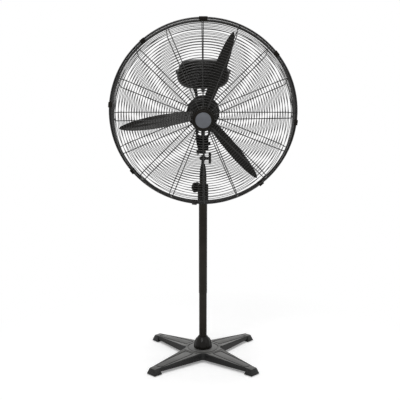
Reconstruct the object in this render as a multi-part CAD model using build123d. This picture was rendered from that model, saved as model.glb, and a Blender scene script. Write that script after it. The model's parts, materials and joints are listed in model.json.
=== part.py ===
from build123d import *
import math
import os

# A 750 mm industrial pedestal fan: cross-shaped cast base, two-piece pole with a
# sliding mast, and a head that tilts, swings and spins. Millimetres and degrees.
# Origin on the floor under the pole axis, +Z up, the blades face -Y.

os.makedirs("parts", exist_ok=True)

# ---- fits -------------------------------------------------------------------
running = 0.05          # radial gap of a shaft in its bore
free_gap = 0.3          # gap between pieces that move past each other
seat_gap = 0.1          # gap between a part and the seat that holds it
past = 1                # how far a cutter reaches past the face that it cuts

# ---- base -------------------------------------------------------------------
arm_count = 4
first_arm = 45          # direction of the first arm, from +X
arm_reach = 336         # pole axis to the toe, along an arm
notch_reach = 82        # pole axis to the notch between two arms
arm_tip_inset = 14      # the arm proper ends inside its foot
arm_end_half_width = 19
hub_top = 48
arm_end_top = 30
arm_underside = 14
arm_draft = 5
casting_wall = 5
notch_fillet = 14
foot_length = 44
toe_half_width = 27
heel_flare = 3          # the foot is wider at its heel than at its toe
foot_draft = 20
pad_height = 4
pad_inset = 7
pad_corner = 6
panel_start = 94
panel_gap = 2           # from the end of the raised panel to the foot
panel_half_width = 23
panel_end_half_width = 16
panel_corner = 9.6
groove_width = 5
groove_depth = 2.5
hub_ring_radius = 72
hub_boss_radius = 32
pole_seat = 22          # height of the ledge that the pole stands on

# ---- pole foot --------------------------------------------------------------
centre_bolt_radius = 6
bolt_head_radius = 10
bolt_head_height = 7
bolt_washer_radius = 15
bolt_washer_thickness = 2.5
plug_length = 26
bolt_end_gap = 2        # from the bolt's end to the top of its plug
socket_top = 105
socket_radius = 41
socket_curve = ((0, 12), (4, 34), (11, 47))     # inset from the radius, rise above the hub
socket_mouth_wall = 3.8
socket_rib = 2
socket_rib_width = 5
socket_rib_count = 4
socket_rib_drop = 7

# ---- pole and mast ----------------------------------------------------------
upper_pole_radius = 19.6
upper_pole_wall = 1.3
lower_pole_radius = upper_pole_radius - upper_pole_wall - seat_gap
lower_pole_wall = 1.4
mast_radius = lower_pole_radius - lower_pole_wall - free_gap - seat_gap
mast_wall = 2
pole_joint = 319        # foot of the upper pole
pole_overlap = 80
joint_screw_radius = 4
joint_screw_rise = 14   # above the foot of the upper pole
joint_screw_out = 2.4
joint_screw_chamfer = 0.8
screw_heading = 245
collar_top = 843
collar_length = 94
collar_wall = 5.4
collar_radius = upper_pole_radius + collar_wall
collar_cone = 16
collar_lip = 1
collar_chamfer = 4
collar_floor = 29       # from the collar's top down to the pole's mouth
pole_mouth_gap = 1
bush_top_drop = 60
bush_length = 54
boss_radius = 10
boss_out = 4            # the threaded boss stands out of the collar
knob_drop = 21          # collar top to the knob's axis
knob_height = collar_top - knob_drop
knob_stand = 21         # collar to the middle of the knob
knob_reach = collar_radius + knob_stand
knob_radius = 27
knob_thickness = 20
knob_lobes = 6
knob_lobe_radius = 7
knob_lobe_out = 4
knob_stem_radius = 9
knob_stud_radius = 4
knob_heading = 135      # direction of the knob's stem, from +X
mast_depth = 403        # how far the mast reaches down from the collar's top

# ---- tilt joint -------------------------------------------------------------
mast_rise = 120         # collar top to the tilt axis, at rest
tilt_height = collar_top + mast_rise
rest_tilt = 6           # the head looks down by this much at rest
nose_length = 83        # mast's end to the tilt axis
nose_foot = tilt_height - nose_length
nose_plug = 30          # spigot of the nose inside the mast
nose_curve = ((2.9, 35), (7.4, 58))     # inset from the mast's radius, rise above its end
nose_tip_radius = 6.5
tang_thickness = 8
tang_radius = 14
tang_root = 38          # how far the nose's ear reaches down
ear_relief = 12         # the nose is cut away this far below the moving ear
tilt_bolt_radius = 4
tilt_bolt_end = 9       # bolt past the ear, to take the nut
tilt_nut_radius = 7.5
tilt_nut_height = 6
handle_reach = 32       # middle of the handle's bar
handle_bar_radius = 6
handle_bar_length = 52
handle_bar_chamfer = 1.5
handle_stem_radius = 6
handle_flange_radius = 8
handle_flange = 3

# ---- swing joint, measured from the tilt axis along the tilted head ---------
plate_bottom = 25
plate_thickness = 10
plate_top = plate_bottom + plate_thickness
plate_left = 31
plate_right = 13
plate_depth = 32
plate_corner = 8
pin_radius = 5
pin_engagement = 57     # pin inside the yoke
washer_radius = 8
washer_thickness = 6
yoke_bottom = plate_top + washer_thickness
pin_top = yoke_bottom + pin_engagement
yoke_depth = 32
yoke_left_foot = 23
yoke_left_waist = 27
yoke_left_bulge = 31
yoke_right_foot = 25
yoke_waist_rise = 19
yoke_bulge_rise = 35
yoke_neck_rise = 60
fork_outer = 34
fork_inner = 22.5
fork_floor = 63         # above the yoke's foot
fork_floor_chamfer = 7
fork_drop = 50          # fan axis to the tips of the fork
yoke_corner = 3
clamp_rise = 29         # clamp screw above the yoke's foot
clamp_radius = 4.4
clamp_head_radius = 8
clamp_head = 9
stud_offset = 24        # pin axis to the link's fixed stud
stud_radius = 3.5
stud_nut_radius = 6
stud_nut_height = 7
stud_tail = 10
crank_offset = 42       # pin axis to the crank axis
crank_radius = 13.4
crank_pin_radius = 3
crank_shaft_radius = 5
crank_disc_edge = 5
crank_disc = 5
crank_disc_drop = 2
link_thickness = 3
link_width = 12

# ---- fan axis and guards ----------------------------------------------------
fan_axis_height = 227   # above the tilt axis
hoop_ahead = 105        # rim plane in front of the swing pin
guard_radius = 416
rim_wire = 9
rib_count = 16
rib_wire = 4.4
ring_wire = 3.0
weld_depth = 1          # how far crossing wires sink into each other
ring_pitch = 33.5       # between the rings that are drawn here
front_turn = 0.9        # the front ribs stand beside the rear ones by this angle
rear_plane = -30        # rear wires, along the fan axis from the rim plane
front_plane = 150
rear_flat_inset = 41    # rim to the bend of the ribs
front_flat_inset = 48
rear_flat_radius = guard_radius - rear_flat_inset
front_flat_radius = guard_radius - front_flat_inset
bend_ring_inset = 4
front_wall_rings = 3
front_rim_step = 9      # the front rim nests inside the rear rim
front_rim_ahead = 7
front_rim_wire = 8
centre_plate_radius = 71
centre_plate_raise = 12
centre_plate_cover = 14
front_eye_radius = 46
clip_count = 8
clip_length = 22
top_clip_length = 36
clip_wall = 2
clip_lag = 5.5
clip_screw_radius = 3.2
screw_head = 2.5
badge_ring_radius = 44
badge_radius = 33.5
badge_gap = 0.2
badge_face = 172
badge_ring_chamfer = 5
badge_ring_bore = 20
badge_floor = 4
badge_disc_sink = 1
clamp_plate = 3
clamp_plate_cover = 6
clamp_boss_radius = 18

# ---- motor and gearbox ------------------------------------------------------
motor_radius = 66
motor_front = -34
motor_split = -80
motor_back = -124
motor_wall = 4
motor_shoulder = 8
end_plate = 6
rear_end_plate = 5
nose_radius = 24
nose_front = -14
shaft_radius = 7.5
shaft_hole_gap = 1
shaft_tail_radius = 4   # where the worm sits
shaft_step = 2          # the full shaft ends this far behind the motor
shaft_chamfer = 1
shaft_front = 52
shaft_back = -158
bearing_radius = 17.5
bearing_width = 11
bearing_wall = 5
vent_count = 12
vent_start = 34
vent_end = 54
vent_width = 6
stator_radius = motor_radius - motor_wall - seat_gap
rotor_radius = 35
air_gap = 0.6
core_front = -58
core_back = -100
winding_outer = 56
winding_inner = 40
winding_front_length = 8
winding_back_length = 9
guard_nut_edge = 11
guard_nut_height = 9
guard_nut_slots = 6
guard_nut_slot = 8
guard_nut_slot_depth = 3.7
gearbox_left = 42
gearbox_right = 24
gearbox_height = 60
gearbox_back = 64       # behind the swing pin
gearbox_wall = 4
gearbox_corner = 10
gearbox_cover_depth = 4
gearbox_screw_inset = 6
gearbox_screw_radius = 3.5
gear_module = 1.25
tooth_root = 1.25       # depth below the pitch circle, in modules
tooth_crest = 0.85      # height above it
tooth_foot_share = 0.62 # half width at the root, in half pitches
tooth_crest_share = 0.24
pinion_teeth = 10
crank_gear_teeth = 24
gear_lift = 1
crank_gear_width = 8
pinion_width = 9
worm_wheel_teeth = 28
worm_wheel_radius = 13
worm_wheel_width = 8
worm_ridge = 1.2
worm_pitch = 3.12
worm_clear = 2.4
worm_back = -152        # along the fan axis
worm_front = -142
clutch_shaft_radius = 4
clutch_shaft_rise = 12
clutch_travel = 6
clutch_stem_radius = 6
clutch_cap_radius = 11
clutch_cap_foot = 9
clutch_cap_edge = 10
clutch_cap_shoulder = 8
clutch_cap_height = 13
column_radius = 9
column_drop = 11        # crank shaft's column ends this far above the yoke's foot
column_bottom = yoke_bottom + column_drop

# ---- blades -----------------------------------------------------------------
blade_count = 3
blade_phase = 69.9      # angle of the first blade, from +X
blade_tip_gap = 43      # blade tip to the outside of the guard
blade_tip = guard_radius - blade_tip_gap
blade_plane = 16
blade_thickness = 2
blade_root = 44
blade_flat_end = 96
blade_root_chord = 46
blade_belly = 15        # widening of the leaf at mid-length
blade_end_round = 3.5   # power with which the chord falls off at the tip
blade_stations = 8
root_pitch = 30
tip_pitch = 16
camber_share = 0.04     # arch of the blade over its chord
hub_radius = 36
hub_back = 4
hub_front = 34
hub_edge = 6
arm_plate_thickness = 4
arm_plate_width = 36
arm_plate_root = 14
arm_plate_inset = 6
arm_plate_corner = 10
rivet_radius = 4
rivet_head = 3
rivet_inner = 54
rivet_outer = 76
rivet_side = 9
hub_nut_radius = 13
hub_nut_height = 10

# ---- control housing above the motor ----------------------------------------
housing_centre = 27     # behind the swing pin
housing_half_straight = 32
housing_reach = 121     # half the housing's width
housing_wall = 3
housing_rise = 93       # fan axis to the housing's underside
bowl_height = 75
lid_height = 51
lid_flange = 5
housing_bottom = fan_axis_height + housing_rise
housing_flange = housing_bottom + bowl_height
housing_top = housing_flange + lid_height
bowl_curve = ((58, 0), (26, 9), (6, 32), (0, 69))       # inset from the reach, rise
lid_curve = ((9, 5), (11, 20), (22, 39), (43, 51))
ear_radius = 8
ear_inset = 5
bowl_ear_height = 10
ear_screw_radius = 3
ear_screw_out = 0.5
gland_radius = 8
gland_bore = 5
gland_nut_radius = 12
gland_nut_height = 8
gland_tail = 12
gland_thread = 6
gland_back = 18
switch_rise = 47        # switch axis above the housing's underside
switch_height = housing_bottom + switch_rise
switch_front = 44
switch_back = 67
switch_half = 13
switch_half_width = 16
knob_seat_gap = 0.5
speed_knob_seat = housing_reach - housing_half_straight + knob_seat_gap
speed_knob_radius = 17
speed_knob_taper = 2
speed_knob_depth = 16
speed_grip = (2, 14, 4) # half width, half length and height of the finger grip
capacitor_radius = 16
capacitor_length = 60
capacitor_left = 26
terminal_left = 14
terminal_length = 40
terminal_half_depth = 9
terminal_height = 16
terminal_count = 4
terminal_screw_radius = 3
terminal_screw_depth = 8
strut_half_gap = 27
strut_width = 14
strut_thickness = 12
strut_sweep = 7         # the legs draw together towards the motor
strut_taper = 1
strut_foot_rise = 40

# ---- frames -----------------------------------------------------------------
head_frame = Location((0, 0, tilt_height), (rest_tilt, 0, 0))
fan_frame = head_frame * Location((0, -hoop_ahead, fan_axis_height), (90, 0, 0))
housing_frame = head_frame * Location((0, housing_centre, 0))


# ---- shared helpers ---------------------------------------------------------
def outline(points):
    return make_face(Polyline(*points, close=True))


def turned(points):
    """A solid of revolution about Z from (radius, height) points."""
    return revolve(Plane.XZ * outline(points), Axis.Z)


def cylinder(radius, low, high, x=0, y=0):
    return Pos(x, y, (low + high) / 2) * Cylinder(radius, high - low)


def ring(outer, inner, low, high):
    return cylinder(outer, low, high) - cylinder(inner, low, high)


def block(low, high):
    """A box between two opposite corners."""
    size = [b - a for a, b in zip(low, high)]
    middle = [(a + b) / 2 for a, b in zip(low, high)]
    return Pos(*middle) * Box(*size)


def hexagon(radius, low, high):
    """A six-sided bar between two heights; the radius is to its corners."""
    return Pos(0, 0, low) * extrude(RegularPolygon(radius, 6), high - low)


def radial(height, heading):
    """Frame whose Z points away from the pole axis at a height."""
    return Pos(0, 0, height) * Rot(0, 0, heading) * Rot(0, 90, 0)


def around(shape, count, start=0):
    """Copies of a shape turned about Z."""
    return [Rot(0, 0, start + i * 360 / count) * shape for i in range(count)]


def joined(shapes):
    """One solid from pieces that overlap."""
    first, *rest = shapes
    return first.fuse(*rest) if rest else first


def group(shapes):
    """Separate solids that share one node."""
    return Compound([solid for shape in shapes for solid in shape.solids()])


def offset_path(points, shift):
    """A path moved sideways by a distance, mitred at its bends."""
    headings = [math.atan2(bz - az, bx - ax) for (ax, az), (bx, bz) in zip(points, points[1:])]
    before, after = headings[:1] + headings, headings + headings[-1:]
    moved = []
    for (x, z), first, last in zip(points, before, after):
        middle, reach = (first + last) / 2, shift / math.cos((last - first) / 2)
        moved.append((x - reach * math.sin(middle), z + reach * math.cos(middle)))
    return moved


def write(name, shape):
    export_step(shape, f"parts/{name}.step")


# ---- base -------------------------------------------------------------------
def arm_root():
    """Half width of an arm where it leaves the hub."""
    return notch_reach * math.sin(math.pi / arm_count)


def arm_plan():
    """Plan of the cross: each arm tapers from the notch to its end."""
    root, end = arm_root(), arm_reach - arm_tip_inset
    arm = outline([(0, -root), (root, -root), (end, -arm_end_half_width),
                   (end, arm_end_half_width), (root, root), (0, root)])
    cross = joined(around(arm, arm_count, first_arm))
    notches = cross.vertices().filter_by(
        lambda v: abs(math.hypot(v.X, v.Y) - notch_reach) < past)
    return fillet(notches, notch_fillet)


def arm_side(top_offset=0, bottom=arm_underside):
    """Side view of one arm, level over the hub and falling to the toe."""
    root = arm_root()
    face = outline([(0, bottom), (arm_reach, bottom), (arm_reach, arm_end_top + top_offset),
                    (root, hub_top + top_offset), (0, hub_top + top_offset)])
    return extrude(Plane.XZ * face, notch_reach, both=True)


def foot_block():
    heel, wide = arm_reach - foot_length, toe_half_width + heel_flare
    bottom = outline([(heel, -wide), (arm_reach, -toe_half_width),
                      (arm_reach, toe_half_width), (heel, wide)])
    body = extrude(Pos(0, 0, pad_height) * bottom, hub_top, taper=foot_draft)
    return body & arm_side(bottom=0)


def panel_plan():
    end = arm_reach - foot_length - panel_gap
    corners = outline([(panel_start, -panel_half_width), (end, -panel_end_half_width),
                       (end, panel_end_half_width), (panel_start, panel_half_width)])
    return fillet(corners.vertices().sort_by(Axis.X)[-2:], panel_corner)


def panel_groove():
    """The channel that outlines the raised panel on an arm."""
    plan = offset(panel_plan(), groove_width) - panel_plan()
    return extrude(plan, 2 * hub_top) & arm_side(2 * groove_depth, 0) - arm_side(-groove_depth, 0)


def base_casting():
    envelope = joined(around(arm_side(), arm_count, first_arm))
    plan = arm_plan()
    body = extrude(plan, 2 * hub_top, taper=arm_draft) & envelope
    hollow = joined(around(arm_side(-casting_wall), arm_count, first_arm))
    inner = extrude(offset(plan, -2 * casting_wall), hub_top)
    web = joined(around(block((0, -casting_wall / 2, 0),
                              (arm_reach - foot_length, casting_wall / 2, hub_top)), arm_count, first_arm))
    body -= (inner & hollow) - web - cylinder(hub_boss_radius, 0, hub_top)
    body = joined([body] + around(foot_block(), arm_count, first_arm))
    for groove in around(panel_groove(), arm_count, first_arm):
        body -= groove
    body -= ring(hub_ring_radius + groove_width / 2, hub_ring_radius - groove_width / 2,
                 hub_top - groove_depth, hub_top + past)
    body -= cylinder(lower_pole_radius + seat_gap, pole_seat, hub_top + past)
    return body - cylinder(centre_bolt_radius + free_gap, 0, pole_seat)


def foot_pads():
    plan = Rectangle(foot_length - 2 * pad_inset, 2 * (toe_half_width - pad_inset))
    pad = extrude(fillet(plan.vertices(), pad_corner), pad_height)
    return group(around(Pos(arm_reach - foot_length / 2, 0, 0) * pad, arm_count, first_arm))


def bell(swell, top, mouth):
    """The socket's round body, swelled outwards, with its mouth at a height."""
    bore = lower_pole_radius + seat_gap
    curve = [(socket_radius - inset + swell, hub_top + rise) for inset, rise in socket_curve]
    return turned([(bore, hub_top), (socket_radius + swell, hub_top)] + curve + [(mouth, top), (bore, top)])


def pole_socket():
    """Bell that covers the foot of the pole, with four ribs up its side."""
    half, mouth = socket_rib_width / 2, lower_pole_radius + socket_mouth_wall
    blade = block((mouth, -half, 0), (2 * socket_radius, half, socket_top))
    rib = bell(socket_rib, socket_top - socket_rib_drop, mouth) & blade
    return joined([bell(0, socket_top, mouth)] + around(rib, socket_rib_count))


def lower_pole():
    """Pole with a threaded plug welded in its foot for the bolt from below."""
    tube = ring(lower_pole_radius, lower_pole_radius - lower_pole_wall,
                pole_seat, pole_joint + pole_overlap)
    plug = ring(lower_pole_radius - lower_pole_wall / 2, centre_bolt_radius + running,
                pole_seat, pole_seat + plug_length)
    return joined([tube, plug])


def centre_bolt():
    under_washer = arm_underside - bolt_washer_thickness
    head = hexagon(bolt_head_radius, under_washer - bolt_head_height, under_washer + past)
    washer = cylinder(bolt_washer_radius, under_washer, arm_underside)
    shank = cylinder(centre_bolt_radius, under_washer, pole_seat + plug_length - bolt_end_gap)
    return joined([head, washer, shank])


def upper_pole():
    top = collar_top - collar_floor - pole_mouth_gap
    tube = ring(upper_pole_radius, upper_pole_radius - upper_pole_wall, pole_joint, top)
    screw_hole = cylinder(joint_screw_radius + running, 0, 2 * upper_pole_radius)
    stud_hole = cylinder(knob_stud_radius + free_gap, 0, 2 * upper_pole_radius)
    return tube - radial(pole_joint + joint_screw_rise, screw_heading) * screw_hole - radial(
        knob_height, knob_heading) * stud_hole


def joint_screw():
    """Grub screw that locks the two poles together."""
    low = lower_pole_radius
    head = cylinder(joint_screw_radius, low, upper_pole_radius + joint_screw_out)
    head = chamfer(head.edges().sort_by(Axis.Z)[-1], joint_screw_chamfer)
    return radial(pole_joint + joint_screw_rise, screw_heading) * head


# ---- collar, knob and mast --------------------------------------------------
def mast_collar():
    """Collar on the pole's mouth: pole in its foot, mast through its top, knob in its side."""
    foot, ledge = collar_top - collar_length, collar_top - collar_floor
    pole_bore, mast_bore = upper_pole_radius + seat_gap, mast_radius + free_gap
    body = turned([(pole_bore, foot), (pole_bore + collar_lip, foot), (collar_radius, foot + collar_cone),
                   (collar_radius, collar_top - collar_chamfer),
                   (collar_radius - collar_chamfer, collar_top),
                   (mast_bore, collar_top), (mast_bore, ledge), (pole_bore, ledge)])
    knob_frame = radial(knob_height, knob_heading)
    body = joined([body, knob_frame * cylinder(boss_radius, pole_bore, collar_radius + boss_out)])
    body -= knob_frame * cylinder(knob_stud_radius + running, 0, 2 * collar_radius)
    body -= cylinder(pole_bore, foot - past, ledge)
    return body - cylinder(mast_bore, ledge - past, collar_top + past)


def collar_bush():
    """Plastic bush in the pole's mouth that guides the mast."""
    top = collar_top - bush_top_drop
    return ring(lower_pole_radius, mast_radius + running, top - bush_length, top)


def height_knob():
    """Lobed hand knob on a stud."""
    low = knob_reach - knob_thickness / 2
    high = low + knob_thickness
    disc = cylinder(knob_radius, low, high)
    lobe = cylinder(knob_lobe_radius, low - past, high + past, knob_radius + knob_lobe_out)
    for scallop in around(lobe, knob_lobes):
        disc -= scallop
    stem = cylinder(knob_stem_radius, collar_radius + boss_out + free_gap, low)
    return radial(knob_height, knob_heading) * joined([disc, stem])


def knob_stud():
    stud = cylinder(knob_stud_radius, mast_radius + free_gap, collar_radius + boss_out + free_gap)
    return radial(knob_height, knob_heading) * stud


def mast_tube():
    return ring(mast_radius, mast_radius - mast_wall, collar_top - mast_depth, nose_foot)


def tang(low_x, high_x, root, height):
    """Flat ear across the tilt axis, from a root above or below it to a round end."""
    low, high = min(root, height), max(root, height)
    ear = cylinder(tang_radius, low_x, high_x)
    plate = block((low_x, -tang_radius, low), (high_x, tang_radius, high))
    return Pos(0, 0, height) * (Rot(0, 90, 0) * ear) + plate


def mast_nose():
    """Pointed casting on the mast with the fixed ear of the tilt joint."""
    plug = mast_radius - mast_wall - seat_gap
    top = tilt_height - tang_radius - past
    curve = [(mast_radius - inset, nose_foot + rise) for inset, rise in nose_curve]
    cone = turned([(0, nose_foot - nose_plug), (plug, nose_foot - nose_plug), (plug, nose_foot),
                   (mast_radius, nose_foot)] + curve + [(nose_tip_radius, top), (0, top)])
    ear = tang(-tang_thickness, -seat_gap / 2, tilt_height - tang_root, tilt_height)
    body = joined([cone, ear])
    body -= block((-seat_gap / 2, -mast_radius, top - ear_relief),
                  (mast_radius, mast_radius, tilt_height + tang_radius))
    return body - Location((0, 0, tilt_height), (0, 90, 0)) * cylinder(
        tilt_bolt_radius + running, -2 * tang_thickness, 2 * tang_thickness)


# ---- tilt joint -------------------------------------------------------------
def tilt_bracket():
    """Moving ear of the tilt joint with the plate that carries the head."""
    ear = tang(seat_gap / 2, tang_thickness, plate_bottom, 0)
    plate = block((-plate_left, -plate_depth / 2, plate_bottom), (plate_right, plate_depth / 2, plate_top))
    plate = fillet(plate.edges().filter_by(Axis.Z), plate_corner)
    body = joined([ear, plate])
    body -= Rot(0, 90, 0) * cylinder(tilt_bolt_radius + running, -2 * tang_thickness, 2 * tang_thickness)
    body -= cylinder(pin_radius, plate_bottom - past, plate_top + past)
    return body - cylinder(stud_radius, plate_bottom - past, plate_top + past, -stud_offset)


def pivot_pin():
    return cylinder(pin_radius, plate_bottom, pin_top)


def thrust_washer():
    return ring(washer_radius, pin_radius + running, plate_top, yoke_bottom - seat_gap)


def link_stud():
    """Fixed stud of the link, with a nut under the plate."""
    low = plate_bottom - stud_tail
    nut = Pos(-stud_offset, 0, 0) * hexagon(stud_nut_radius, plate_bottom - stud_nut_height, plate_bottom)
    return joined([nut, cylinder(stud_radius, low, yoke_bottom - 2 * free_gap, -stud_offset)])


def tilt_handle():
    """Bolt through both ears with a cross bar for the hand."""
    seat = tang_thickness + seat_gap
    bolt = cylinder(tilt_bolt_radius, -tang_thickness - tilt_bolt_end, seat + past)
    stem = cylinder(handle_stem_radius, seat, handle_reach)
    flange = cylinder(handle_flange_radius, seat, tang_thickness + handle_flange)
    bar = Pos(handle_reach, 0, 0) * Cylinder(handle_bar_radius, handle_bar_length)
    bar = chamfer(bar.edges(), handle_bar_chamfer)
    return joined([Rot(0, 90, 0) * joined([bolt, stem, flange]), bar])


def tilt_nut():
    high = -tang_thickness - seat_gap
    nut = hexagon(tilt_nut_radius, high - tilt_nut_height, high)
    bore = cylinder(tilt_bolt_radius + running, high - 2 * tilt_nut_height, high + past)
    return Rot(0, 90, 0) * (nut - bore)


# ---- yoke and crank ---------------------------------------------------------
def motor_clearance():
    """The motor's barrel with the gap that its carriers keep, across the whole head."""
    length = 2 * (motor_front - motor_back)
    return Location((0, 0, fan_axis_height), (90, 0, 0)) * Cylinder(motor_radius + seat_gap, length)


def yoke():
    """Forked casting between the swing pin and the motor."""
    foot, floor, tips = yoke_bottom, yoke_bottom + fork_floor, fan_axis_height - fork_drop
    slope = floor + fork_floor_chamfer
    face = outline([
        (-yoke_left_foot, foot), (yoke_right_foot, foot), (yoke_right_foot, foot + yoke_neck_rise),
        (fork_outer, slope + fork_floor_chamfer), (fork_outer, tips), (fork_inner, tips),
        (fork_inner, slope), (fork_inner - fork_floor_chamfer, floor),
        (fork_floor_chamfer - fork_inner, floor), (-fork_inner, slope), (-fork_inner, tips),
        (-fork_outer, tips), (-fork_outer, foot + yoke_neck_rise),
        (-yoke_left_bulge, foot + yoke_bulge_rise), (-yoke_left_waist, foot + yoke_waist_rise)])
    body = extrude(Plane.XZ * fillet(face.vertices(), yoke_corner), yoke_depth / 2, both=True)
    body -= cylinder(pin_radius + running, 0, pin_top + free_gap)
    screw_hole = Rot(0, 90, 0) * cylinder(clamp_radius + seat_gap, 0, 2 * fork_outer)
    return body - motor_clearance() - Pos(0, 0, yoke_bottom + clamp_rise) * screw_hole


def pin_clamp_screw():
    """Screw whose tip rides in the pin's groove and keeps the head on."""
    seat = yoke_right_foot + free_gap
    shank = cylinder(clamp_radius, pin_radius + free_gap, seat + past)
    head = hexagon(clamp_head_radius, seat, seat + clamp_head)
    return Location((0, 0, yoke_bottom + clamp_rise), (0, 90, 0)) * joined([shank, head])


def gear(teeth, module, low, high, bore=0):
    """Spur gear with straight-flanked teeth and a little backlash."""
    pitch = teeth * module / 2
    root, tip = pitch - tooth_root * module, pitch + tooth_crest * module
    step = math.pi / teeth
    rim = []
    for i in range(teeth):
        for turn, radius in ((-tooth_foot_share, root), (-tooth_crest_share, tip),
                             (tooth_crest_share, tip), (tooth_foot_share, root)):
            angle = (2 * i + turn) * step
            rim.append((radius * math.cos(angle), radius * math.sin(angle)))
    body = Pos(0, 0, low) * extrude(outline(rim), high - low)
    return body - cylinder(bore, low - past, high + past) if bore else body


def gear_centres():
    return gear_module * (pinion_teeth + crank_gear_teeth) / 2


def gearbox_levels():
    """Underside and top of the gear case."""
    return fan_axis_height - gearbox_height / 2, fan_axis_height + gearbox_height / 2


def gearbox_housing():
    """Gear case on the back of the motor, with the crank shaft's column."""
    low, high = gearbox_levels()
    wall, front = gearbox_wall, -hoop_ahead - motor_back
    body = block((-gearbox_left, front, low), (gearbox_right, gearbox_back, high))
    body = fillet(body.edges().filter_by(Axis.Y), gearbox_corner)
    body -= block((wall - gearbox_left, front + wall, low + wall),
                  (gearbox_right - wall, gearbox_back + past, high - wall))
    body += cylinder(column_radius, column_bottom, low + wall, 0, crank_offset)
    body -= cylinder(crank_shaft_radius + running, column_bottom - past, low + wall + past, 0, crank_offset)
    body -= cylinder(clutch_stem_radius + free_gap, high - wall - past, high + past,
                     -gear_centres(), crank_offset)
    shaft_hole = Location((0, front, fan_axis_height), (90, 0, 0)) * Cylinder(
        shaft_radius + shaft_hole_gap, 4 * wall)
    return body - shaft_hole


def gearbox_cover():
    low, high = gearbox_levels()
    seat = gearbox_back
    plate = block((-gearbox_left, seat, low), (gearbox_right, seat + gearbox_cover_depth, high))
    return fillet(plate.edges().filter_by(Axis.Y), gearbox_corner)


def gearbox_screws():
    low, high = gearbox_levels()
    inset, seat = gearbox_screw_inset, gearbox_back + gearbox_cover_depth
    head = cylinder(gearbox_screw_radius, 0, screw_head)
    return group([Location((x, seat, z), (-90, 0, 0)) * head
                  for x in (inset - gearbox_left, gearbox_right - inset)
                  for z in (low + inset, high - inset)])


def worm():
    """Worm on the tail of the motor shaft, drawn as a row of ridges."""
    core, ridge = gear_centres() - worm_wheel_radius - worm_clear, worm_ridge
    profile = [(shaft_tail_radius, worm_back), (core, worm_back)]
    for i in range(int((worm_front - worm_back) / worm_pitch)):
        foot = worm_back + i * worm_pitch + ridge / 2
        profile += [(core, foot), (core + ridge, foot + ridge / 2),
                    (core + ridge, foot + ridge), (core, foot + 3 * ridge / 2)]
    return turned(profile + [(core, worm_front), (shaft_tail_radius, worm_front)])


def worm_wheel():
    """Wheel turned by the worm, loose on the clutch shaft."""
    half = worm_wheel_width / 2
    wheel = gear(worm_wheel_teeth, 2 * worm_wheel_radius / worm_wheel_teeth,
                 fan_axis_height - half, fan_axis_height + half, clutch_shaft_radius + running)
    return Pos(-gear_centres(), crank_offset, 0) * wheel


def gear_floor():
    """Inside floor of the gear case."""
    return gearbox_levels()[0] + gearbox_wall


def clutch_shaft():
    """Vertical shaft with the pinion that drives the crank gear."""
    low = gear_floor() + gear_lift
    pinion = Rot(0, 0, 180 / pinion_teeth) * gear(pinion_teeth, gear_module, low, low + pinion_width)
    shaft = cylinder(clutch_shaft_radius, gear_floor() + free_gap, fan_axis_height + clutch_shaft_rise)
    return Pos(-gear_centres(), crank_offset, 0) * joined([pinion, shaft])


def clutch_knob():
    """Push-pull knob that engages the worm wheel with its shaft, drawn pulled out."""
    low = fan_axis_height + clutch_shaft_rise + free_gap + clutch_travel
    top = gearbox_levels()[1] + free_gap + clutch_travel
    stem = cylinder(clutch_stem_radius, low, top + past)
    cap = turned([(0, top), (clutch_cap_foot, top), (clutch_cap_radius, top + clutch_cap_shoulder),
                  (clutch_cap_edge, top + clutch_cap_height), (0, top + clutch_cap_height)])
    return Pos(-gear_centres(), crank_offset, 0) * joined([stem, cap])


def crank():
    """Crank gear, its shaft down the column and the crank disc below."""
    low = gear_floor() + gear_lift
    disc_top = column_bottom - crank_disc_drop
    wheel = gear(crank_gear_teeth, gear_module, low, low + crank_gear_width)
    shaft = cylinder(crank_shaft_radius, disc_top - past, low + crank_gear_width)
    disc = cylinder(crank_radius + crank_disc_edge, disc_top - crank_disc, disc_top)
    pin = cylinder(crank_pin_radius, link_top() + free_gap, disc_top - past, crank_radius)
    return Pos(0, crank_offset, 0) * joined([wheel, shaft, disc, Rot(0, 0, 180 - crank_rest_angle()) * pin])


def link_top():
    return plate_top + free_gap + link_thickness


def crank_rest_angle():
    """Angle of the crank past the -X direction when the head points ahead."""
    reach = math.hypot(stud_offset, crank_offset)
    lead = math.degrees(math.atan2(crank_offset, stud_offset))
    return math.degrees(math.acos(crank_radius / reach)) - lead


def link_rod():
    """Flat link from the fixed stud to the crank pin."""
    angle = math.radians(180 - crank_rest_angle())
    x = crank_radius * math.cos(angle) + stud_offset
    y = crank_radius * math.sin(angle) + crank_offset
    length, low = math.hypot(x, y), plate_top + free_gap
    bar = Pos(length / 2, 0, low) * extrude(SlotCenterToCenter(length, link_width), link_thickness)
    bar -= cylinder(stud_radius + running, 0, 2 * low)
    bar -= cylinder(crank_pin_radius + free_gap, 0, 2 * low, length)
    return Location((-stud_offset, 0, 0), (0, 0, math.degrees(math.atan2(y, x)))) * bar


# ---- motor ------------------------------------------------------------------
def motor_front_shell():
    """Barrel half with the front bearing's seat and the nose that carries the rear guard."""
    inner, plate = motor_radius - motor_wall, motor_front - end_plate
    seat, hole = plate - bearing_width, shaft_radius + shaft_hole_gap
    return turned([
        (inner, motor_split), (motor_radius, motor_split), (motor_radius, motor_front - motor_shoulder),
        (motor_radius - motor_shoulder, motor_front), (nose_radius, motor_front), (nose_radius, nose_front),
        (hole, nose_front), (hole, plate), (bearing_radius, plate), (bearing_radius, seat),
        (bearing_radius + bearing_wall, seat), (bearing_radius + bearing_wall, plate), (inner, plate)])


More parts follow.
